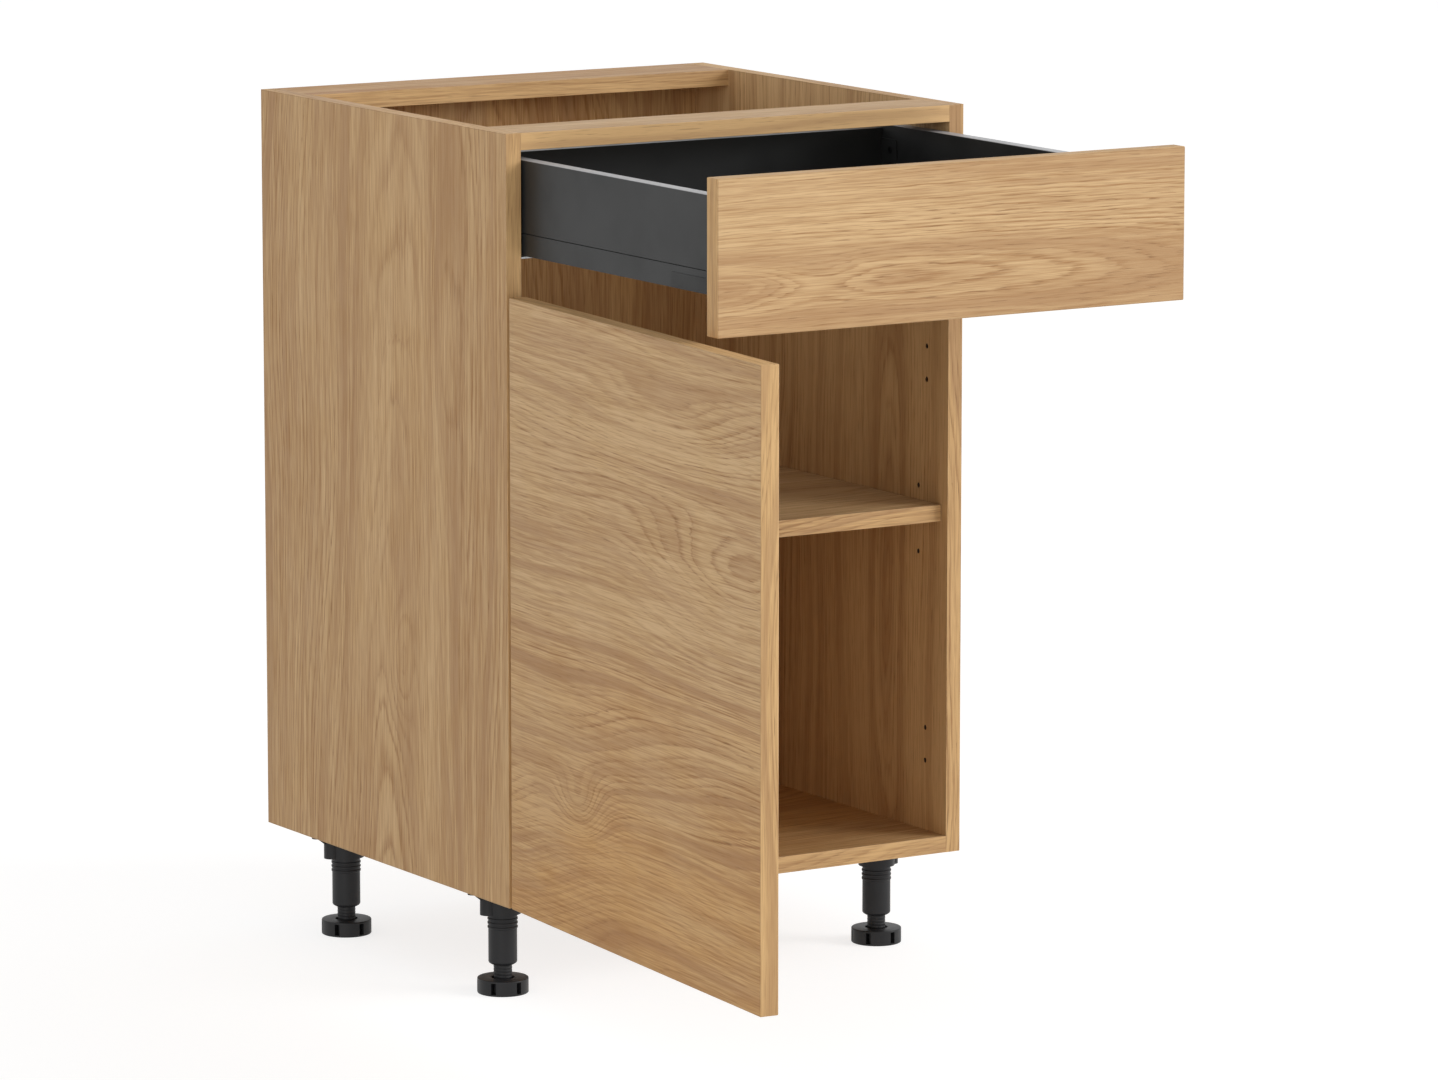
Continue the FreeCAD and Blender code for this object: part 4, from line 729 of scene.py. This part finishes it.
def oak_material(node, finish):
    """Oak laminate for one board, with its own piece of the figure and its edge bands."""
    axes, figure = BOARDS[node]
    turn = DOOR_OPEN if node == "door_panel" else 0.0
    points = turned_back(node_points(node), turn)
    low, high = points.min(0), points.max(0)
    order = ["XYZ".index(axis) for axis in axes]
    size = [float((high - low)[axis]) for axis in order]
    material, tree, shader = new_material("oak_" + figure)
    coordinates = tree.add("TexCoord").outputs

    def in_board_axes(vector, corner):
        turned = tree.add("VectorRotate", {"Vector": vector, "Angle": turn}, rotation_type="Z_AXIS")
        parts = tree.split(tree.vector("SUBTRACT", turned.outputs[0], corner))
        return tree.join(*[parts[axis] for axis in order])

    place = in_board_axes(coordinates["Object"], low.tolist())
    facing = in_board_axes(coordinates["Normal"], (0, 0, 0))
    faces = tree.place(shader_group("Board Faces"), {"Place": place, "Facing": facing, "Size": size})
    heart = HEARTS[figure]
    lift = 0.0
    for curl in CURLS[figure]:
        lifted = tree.place(shader_group("Ring Curl"), {
            "Place": faces["Grain Place"], "Centre": (*curl.place, 0), "Reach": (*curl.reach, 1.0),
            "Lift": curl.lift,
        })
        lift = tree.maths("ADD", lifted["Lift"], lift)
    oak = tree.place(shader_group("Oak Figure"), {
        "Place": faces["Grain Place"], "Heart": (heart.across, heart.depth, heart.lean),
        "Seed": FIGURE_SEEDS[figure], "Lift": lift, "Ring Width": finish.ring * heart.rings,
        "Waviness": heart.wander * finish.wave, "Heart Warmth": heart.warmth,
        "Tone": tree.blend(faces["Band"], heart.tone, heart.band_tone),
        "Pale": tree.tint(faces["Band"], rgba(finish.pale), rgba(finish.edging)),
        "Warm": rgba(finish.warm), "Red": rgba(finish.red), "Brown": rgba(finish.brown),
        "Pore": rgba(finish.pore),
    })
    seam = tree.maths("MULTIPLY", faces["Seam"], SEAM_SHARE)
    seamed = tree.tint(seam, oak["Color"], rgba(finish.pore))
    # Holes and grooves take the dark core colour: the chips' own colour and painted shade
    seamed = tree.tint(faces["Bored"], seamed, rgba(finish.core))
    # Pale board edges: wear and a painted highlight
    worn = tree.place(shader_group("Use Marks"), {
        "Place": place, "Edge": faces["Edge"], "Color": seamed, "Worn Color": rgba(finish.pale),
        "Roughness": oak["Roughness"], "Amount": OAK_WEAR_AND_HIGHLIGHT,
    })
    shader.inputs["Specular IOR Level"].default_value = OAK_SPECULAR
    join_shader(tree, shader, worn["Color"], worn["Roughness"], oak["Height"], finish.relief)
    return material


def rim_mask(tree, coordinates, level):
    """Where the painted highlight goes: 1 on faces that look up just below a level, else 0."""
    up = tree.split(coordinates["Normal"])[2]
    height = tree.split(coordinates["Object"])[2]
    heights = [level - depth for depth in HIGHLIGHT_DEPTHS]
    return tree.maths("MULTIPLY", tree.ramp(up, *HIGHLIGHT_FACING), tree.ramp(height, *heights))


def skin_material(name, colour, relief, speck=None, metallic=0.0, rim=None):
    """Powder coat, moulded plastic, cast metal or plain wood.

    The last argument gives the level and the colour of a painted highlight along an upper edge.
    """
    material, tree, shader = new_material(name)
    coordinates = tree.add("TexCoord").outputs
    place = coordinates["Object"]
    skin = SKINS[name]
    speck = dimmed(colour, skin.speck_share) if speck is None else speck
    coat = tree.place(shader_group("Fine Skin"), {
        "Place": place, "Fineness": skin.fineness, "Color": rgba(dimmed(colour, skin.base_share)),
        "Speck Color": rgba(speck), "Speck": SPECK_AMOUNT,
    })
    worn = tree.place(shader_group("Use Marks"), {
        "Place": place, "Edge": 0.0, "Color": coat["Color"], "Worn Color": rgba(speck),
        "Roughness": tree.maths("ADD", coat["Roughness"], skin.roughness), "Amount": SKIN_WEAR,
    })
    shown = worn["Color"]
    # A painted highlight: faces that look up near the top edge take a pale colour
    if rim:
        level, bright = rim
        shown = tree.tint(rim_mask(tree, coordinates, level), shown, rgba(bright))
    shader.inputs["Metallic"].default_value = metallic
    shader.inputs["Specular IOR Level"].default_value = SKIN_SPECULAR
    join_shader(tree, shader, shown, worn["Roughness"], coat["Height"], relief)
    return material


def plate_material(name, colour):
    """Plated sheet steel."""
    material, tree, shader = new_material(name)
    place = tree.add("TexCoord").outputs["Object"]
    dull = rgba(dimmed(colour, DULL_SHARE))
    plate = tree.place(shader_group("Rolled Plate"), {
        "Place": place, "Color": rgba(colour), "Dull Color": dull,
    })
    worn = tree.place(shader_group("Use Marks"), {
        "Place": place, "Edge": 0.0, "Color": plate["Color"], "Worn Color": dull,
        "Roughness": plate["Roughness"], "Amount": SKIN_WEAR,
    })
    shader.inputs["Metallic"].default_value = 1.0
    join_shader(tree, shader, worn["Color"], worn["Roughness"], plate["Height"], PLATE_RELIEF)
    return material


def material_for(name, maker, *values, **named):
    return bpy.data.materials.get(name) or maker(name, *values, **named)


def dress(node, material):
    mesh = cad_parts[node].data
    mesh.materials.clear()
    mesh.materials.append(material)


def dimmed(colour, share):
    return tuple(value * share for value in colour)


def metal(name, finish):
    """One of the drawer's and the fittings' metal finishes by name."""
    if name == "painted_steel":
        # The drawer sides get a painted highlight along their top edge
        rim = (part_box("left_drawer_side")[1].z, finish.rim)
        return material_for(name, skin_material, finish.paint, finish.peel, rim=rim)
    if name == "bright_steel":
        return material_for(name, plate_material, finish.zinc)
    if name == "nickel_steel":
        return material_for(name, plate_material, finish.nickel)
    return material_for(name, skin_material, finish.zinc, SMOOTH_RELIEF, metallic=1.0)


def new_piece(name, points, faces, material, body):
    mesh = bpy.data.meshes.new(name)
    mesh.from_pydata(points, [], faces)
    mesh.materials.append(material)
    mesh.shade_smooth()
    mesh.set_sharp_from_angle(angle=SHARP_EDGE)
    piece = bpy.data.objects.new(name, mesh)
    bpy.context.scene.collection.objects.link(piece)
    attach(piece, body)
    return piece


def rows_to_mesh(rows):
    """Points and faces of a closed skin over rings of points, each with as many points."""
    sides = len(rows[0])
    points = [point for row in rows for point in row]
    faces = []
    for r in range(len(rows) - 1):
        for s in range(sides):
            t = (s + 1) % sides
            faces.append((r * sides + s, r * sides + t, (r + 1) * sides + t, (r + 1) * sides + s))
    faces.append(tuple(range(sides))[::-1])
    faces.append(tuple((len(rows) - 1) * sides + s for s in range(sides)))
    return points, faces


def thread_cut(turn):
    """How deep a thread is cut at a share of one turn: flat crest, slanted flanks."""
    wave = abs((turn % 1.0) * 2 - 1)
    return min(max((wave - THREAD_CREST_SHARE) * 2, 0.0), 1.0)


def ring_points(angles, radii, z):
    return [(r * math.cos(a), r * math.sin(a), z) for a, r in zip(angles, radii)]


def screw_rows(head_radius, head_depth, shank_radius, length):
    """A screw along -Z with its head at Z = 0: a cross recess, the head, a threaded shank."""
    angles = [math.tau * s / SCREW_SIDES for s in range(SCREW_SIDES)]

    def top(radius):
        ring = []
        for x, y, z in ring_points(angles, [radius] * SCREW_SIDES, 0.0):
            inside = min(abs(x), abs(y)) < RECESS_ARM and max(abs(x), abs(y)) < RECESS_REACH
            ring.append((x, y, -RECESS_DEPTH if inside else z))
        return ring

    rows = [top(head_radius * share) for share in HEAD_RING_SHARES]
    rows.append(ring_points(angles, [head_radius] * SCREW_SIDES, -HEAD_EDGE))
    rows.append(ring_points(angles, [shank_radius] * SCREW_SIDES, -head_depth))
    steps = max(int((length - head_depth) / THREAD_PITCH * THREAD_STEPS), THREAD_STEPS)
    for step in range(1, steps + 1):
        z = -head_depth - (length - head_depth) * step / steps
        taper = min((length + z) / THREAD_PITCH, 1.0)
        core = shank_radius * (TIP_SHARE + (1 - TIP_SHARE) * taper)
        cuts = [thread_cut(z / THREAD_PITCH + a / math.tau) * THREAD_DEPTH for a in angles]
        rows.append(ring_points(angles, [core - cut * taper for cut in cuts], z))
    return rows


def islands(mesh):
    """The points of each separate solid of a mesh, as arrays."""
    parent = list(range(len(mesh.vertices)))

    def root(i):
        while parent[i] != i:
            parent[i] = parent[parent[i]]
            i = parent[i]
        return i

    seen = {}
    for vertex in mesh.vertices:
        key = tuple(round(c, PLACE_DIGITS) for c in vertex.co)
        if key in seen:
            parent[root(vertex.index)] = root(seen[key])
        seen[key] = vertex.index
    for edge in mesh.edges:
        parent[root(edge.vertices[0])] = root(edge.vertices[1])
    groups = {}
    for vertex in mesh.vertices:
        groups.setdefault(root(vertex.index), []).append(tuple(vertex.co))
    return [np.array(points) for points in groups.values()]


def screw_piece(node, material):
    """Replaces a CAD node of screws by threaded screws with cross recesses at the same places."""
    line, body = SCREWS[node]
    axis = np.array(line, float)
    points, faces = [], []
    for solid in islands(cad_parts[node].data):
        t = solid @ axis
        centre = (solid.max(0) + solid.min(0)) / 2
        flat = solid - np.outer(t, axis)
        middle = centre - axis * (centre @ axis)
        radii = np.linalg.norm(flat - middle, axis=1)
        head_at_top = t[radii.argmax()] > (t.max() + t.min()) / 2
        out = axis if head_at_top else -axis
        away = solid @ out
        head = radii.max()
        wide = away[radii > head * HEAD_SHARE]
        shank = radii[away < away.min() + SHANK_REACH].max()
        depth = away.max() - wide.min()
        if depth <= LEAST_HEAD:
            depth = COUNTERSUNK_HEAD
        rows = screw_rows(head, depth, shank, away.max() - away.min())
        turn = Vector((0, 0, 1)).rotation_difference(Vector(out)).to_matrix().to_4x4()
        place = Matrix.Translation(Vector(middle + out * away.max())) @ turn
        flat_points, flat_faces = rows_to_mesh(rows)
        start = len(points)
        points += [tuple(place @ Vector(p)) for p in flat_points]
        faces += [tuple(start + i for i in face) for face in flat_faces]
    piece = new_piece(node + "_threaded", points, faces, material, body)
    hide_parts(node)


def foot_rows(low, high, radius, pitch):
    """A levelling foot about Z: rounded slotted disc, recess and threaded spindle."""
    half = math.asin(FOOT_SLOT_HALF / radius)
    starts = [FOOT_SLOT_START + math.tau * s / FOOT_SLOTS for s in range(FOOT_SLOTS)]
    angles = {round(math.tau * s / FOOT_SIDES, ANGLE_DIGITS) for s in range(FOOT_SIDES)}
    for start in starts:
        walls = (-half - FOOT_SLOT_EDGE, -half, half, half + FOOT_SLOT_EDGE)
        angles |= {round((start + wall) % math.tau, ANGLE_DIGITS) for wall in walls}
    angles = sorted(angles)

    def in_slot(a):
        turns = [abs((a - start + math.pi) % math.tau - math.pi) for start in starts]
        return min(turns) < half + FOOT_SLOT_EDGE / 2

    def ring(r, z, cut=0.0):
        return ring_points(angles, [r - cut if in_slot(a) else r for a in angles], z)

    def rounded(step, face, inward):
        """A ring on the disc's rounded edge, so many steps from its face."""
        angle = math.pi * step / (2 * FOOT_ROUND_STEPS)
        z = face + inward * FOOT_ROUND * (1 - math.cos(angle))
        return ring(radius - FOOT_ROUND * (1 - math.sin(angle)), z)

    top = low + FOOT_DISC
    bottom, ceiling, recess = low + FOOT_SLOT_MARGIN, top - FOOT_SLOT_MARGIN, top - FOOT_RECESS
    rows = [ring(radius * CENTRE_SHARE, low), ring(radius - FOOT_ROUND, low)]
    rows += [rounded(step, low, 1) for step in range(1, FOOT_ROUND_STEPS + 1)]
    rows += [ring(radius, bottom), ring(radius, bottom + FOOT_SLOPE, FOOT_SLOT_DEPTH)]
    rows += [ring(radius, ceiling - FOOT_SLOPE, FOOT_SLOT_DEPTH), ring(radius, ceiling)]
    rows += [rounded(step, top, -1) for step in range(FOOT_ROUND_STEPS, -1, -1)]
    rows += [ring(FOOT_RECESS_RADIUS, top), ring(FOOT_RECESS_RADIUS - FOOT_SLOPE, recess)]
    rows.append(ring(SPINDLE_RADIUS, recess))
    first, last = recess + SPINDLE_START, high - SPINDLE_CHAMFER
    steps = int((last - first) / pitch * SPINDLE_STEPS)
    for step in range(steps + 1):
        z = first + (last - first) * step / steps
        cuts = [thread_cut(z / pitch + a / math.tau) * SPINDLE_THREAD for a in angles]
        rows.append(ring_points(angles, [SPINDLE_RADIUS - cut for cut in cuts], z))
    rows += [ring(SPINDLE_RADIUS - SPINDLE_CHAMFER, high), ring(SPINDLE_RADIUS * CENTRE_SHARE, high)]
    return rows


def foot_piece(place, material, pitch):
    """Replaces one levelling foot by a rounded one with a threaded spindle."""
    node = place + "_levelling_foot"
    low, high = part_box(node)
    centre = (low + high) / 2
    radius = (high.x - low.x) / 2
    points, faces = rows_to_mesh(foot_rows(low.z, high.z, radius, pitch))
    points = [(x + centre.x, y + centre.y, z) for x, y, z in points]
    piece = new_piece(node + "_threaded", points, faces, material, place + "_foot")
    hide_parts(node)


class CABINET_OT_boards(bpy.types.Operator):
    """Give every oak board its grain, edge bands, wear and painted edge highlight"""

    bl_idname = "cabinet.boards"
    bl_label = "Oak Boards"

    def execute(self, context):
        for node in BOARDS:
            dress(node, oak_material(node, context.scene.cabinet_oak))
        return {"FINISHED"}


class CABINET_OT_drawer(bpy.types.Operator):
    """Finish the drawer's painted steel sides, its board, caps and runners"""

    bl_idname = "cabinet.drawer"
    bl_label = "Drawer And Runners"

    def execute(self, context):
        finish = context.scene.cabinet_metal
        for name in ("painted_steel", "bright_steel"):
            for node in FINISHES[name]:
                dress(node, metal(name, finish))
        for name in ("cap_plastic", "drawer_board"):
            skin = skin_material(name, finish.paint, SMOOTH_RELIEF)
            for node in FINISHES[name]:
                dress(node, skin)
        return {"FINISHED"}


class CABINET_OT_fittings(bpy.types.Operator):
    """Finish the hinges, cam locks and dowels"""

    bl_idname = "cabinet.fittings"
    bl_label = "Hinges And Fittings"

    def execute(self, context):
        finish = context.scene.cabinet_metal
        oak = context.scene.cabinet_oak
        for name in ("nickel_steel", "cast_zinc"):
            for node in FINISHES[name]:
                dress(node, metal(name, finish))
        beech = skin_material("beech", oak.pale, WOOD_RELIEF, speck=oak.brown)
        for node in FINISHES["beech"]:
            dress(node, beech)
        return {"FINISHED"}


class CABINET_OT_screws(bpy.types.Operator):
    """Make the screws with their threads and cross recesses"""

    bl_idname = "cabinet.screws"
    bl_label = "Screws"

    def execute(self, context):
        finish = context.scene.cabinet_metal
        for node in SCREWS:
            dark = node in BLACK_SCREWS
            name = "black_screw" if dark else "bright_steel"
            colour = dimmed(finish.zinc, BLACK_SHARE) if dark else finish.zinc
            material = material_for(name, plate_material, colour)
            dress(node, material)
            screw_piece(node, material)
        return {"FINISHED"}


class CABINET_OT_legs(bpy.types.Operator):
    """Finish the legs and make their threaded levelling feet"""

    bl_idname = "cabinet.legs"
    bl_label = "Legs"

    def execute(self, context):
        finish = context.scene.cabinet_leg
        plastic = skin_material("leg_plastic", finish.plastic, MOULDED_RELIEF)
        for place in LEG_PLACES:
            for part in ("_leg_socket", "_leg_column", "_levelling_foot"):
                dress(place + part, plastic)
            foot_piece(place, plastic, finish.thread_pitch)
        return {"FINISHED"}


def seen_directly(tree):
    """1 for rays from the camera and for mirrored ones, else 0."""
    rays = tree.add("LightPath").outputs
    mirrored = tree.maths("MAXIMUM", rays["Is Glossy Ray"], rays["Is Transmission Ray"])
    return tree.maths("MAXIMUM", rays["Is Camera Ray"], mirrored)


def floor_piece(settings):
    material, tree, shader = new_material("pale_floor")
    direct = seen_directly(tree)
    base = tree.tint(direct, rgba(settings.floor), rgba(FLOOR_SEEN))
    glow = tree.tint(direct, rgba((0, 0, 0)), rgba(FLOOR_GLOW))
    tree.tree.links.new(base, shader.inputs["Base Color"])
    tree.tree.links.new(glow, shader.inputs["Emission Color"])
    shader.inputs["Emission Strength"].default_value = 1.0
    shader.inputs["Roughness"].default_value = 1.0
    shader.inputs["Specular IOR Level"].default_value = 0.0
    sides = ((-1, -1), (1, -1), (1, 1), (-1, 1))
    corners = [(x * FLOOR_REACH, y * FLOOR_REACH, CAD_BOX[0][2]) for x, y in sides]
    mesh = bpy.data.meshes.new("floor")
    mesh.from_pydata(corners, [], [(0, 1, 2, 3)])
    mesh.materials.append(material)
    floor = bpy.data.objects.new("floor", mesh)
    bpy.context.scene.collection.objects.link(floor)


def lamp(name, place, power):
    data = bpy.data.lights.new(name, "AREA")
    data.shape = "SQUARE"
    data.size = LAMP_SIZE
    data.energy = power
    made = bpy.data.objects.new(name, data)
    made.location = place
    made.rotation_euler = (Vector(LAMP_AIM) - Vector(place)).to_track_quat("-Z", "Y").to_euler()
    bpy.context.scene.collection.objects.link(made)


class CABINET_OT_stage(bpy.types.Operator):
    """Set up the floor, the soft light and the photograph's camera"""

    bl_idname = "cabinet.stage"
    bl_label = "Studio"

    def execute(self, context):
        settings = context.scene.cabinet_studio
        floor_piece(settings)
        lamp("front_lamp", FRONT_LAMP, settings.key)
        lamp("side_lamp", SIDE_LAMP, settings.key * settings.fill)
        world = bpy.data.worlds.new("studio")
        world.use_nodes = True
        tree = ShaderTree(world.node_tree)
        upward = tree.split(tree.add("TexCoord").outputs["Generated"])[2]
        level = tree.ramp(upward, 0.0, 1.0, settings.sky, settings.sky * settings.ceiling)
        sky = tree.tint(seen_directly(tree), level, (1, 1, 1, 1))
        world.node_tree.links.new(sky, world.node_tree.nodes["Background"].inputs["Color"])
        context.scene.world = world
        data = bpy.data.cameras.new("camera")
        data.sensor_fit = "HORIZONTAL"
        data.sensor_width = CAMERA_SENSOR
        data.lens = CAMERA_LENS
        data.clip_end = CAMERA_REACH
        camera = bpy.data.objects.new("camera", data)
        camera.location = CAMERA_PLACE
        camera.rotation_euler = (math.pi / 2 - CAMERA_PITCH, 0, -CAMERA_YAW)
        context.scene.collection.objects.link(camera)
        context.scene.camera = camera
        context.scene.view_settings.view_transform = "Standard"
        return {"FINISHED"}


class CABINET_PT_sidebar(bpy.types.Panel):
    bl_label = "Base Cabinet"
    bl_idname = "CABINET_PT_sidebar"
    bl_space_type = "VIEW_3D"
    bl_region_type = "UI"
    bl_category = "Cabinet"

    def draw(self, context):
        for operator in OPERATORS:
            self.layout.operator(operator.bl_idname)
        for name in SETTINGS:
            settings = getattr(context.scene, name)
            box = self.layout.box()
            for label in settings.bl_rna.properties.keys():
                if label not in ("rna_type", "name"):
                    box.prop(settings, label)


OPERATORS = (
    CABINET_OT_boards, CABINET_OT_drawer, CABINET_OT_fittings, CABINET_OT_screws, CABINET_OT_legs,
    CABINET_OT_stage,
)
SETTINGS = {
    "cabinet_oak": OakFinish,
    "cabinet_metal": MetalFinish,
    "cabinet_leg": LegFinish,
    "cabinet_studio": Studio,
}


def register():
    for settings in SETTINGS.values():
        bpy.utils.register_class(settings)
    for operator in OPERATORS:
        bpy.utils.register_class(operator)
    bpy.utils.register_class(CABINET_PT_sidebar)
    for name, settings in SETTINGS.items():
        setattr(bpy.types.Scene, name, bpy.props.PointerProperty(type=settings))


def unregister():
    for name in SETTINGS:
        delattr(bpy.types.Scene, name)
    bpy.utils.unregister_class(CABINET_PT_sidebar)
    for operator in reversed(OPERATORS):
        bpy.utils.unregister_class(operator)
    for settings in reversed(SETTINGS.values()):
        bpy.utils.unregister_class(settings)


def main():
    register()
    for make in (bpy.ops.cabinet.boards, bpy.ops.cabinet.drawer, bpy.ops.cabinet.fittings,
                 bpy.ops.cabinet.screws, bpy.ops.cabinet.legs, bpy.ops.cabinet.stage):
        make()


if __name__ == "__main__":
    main()
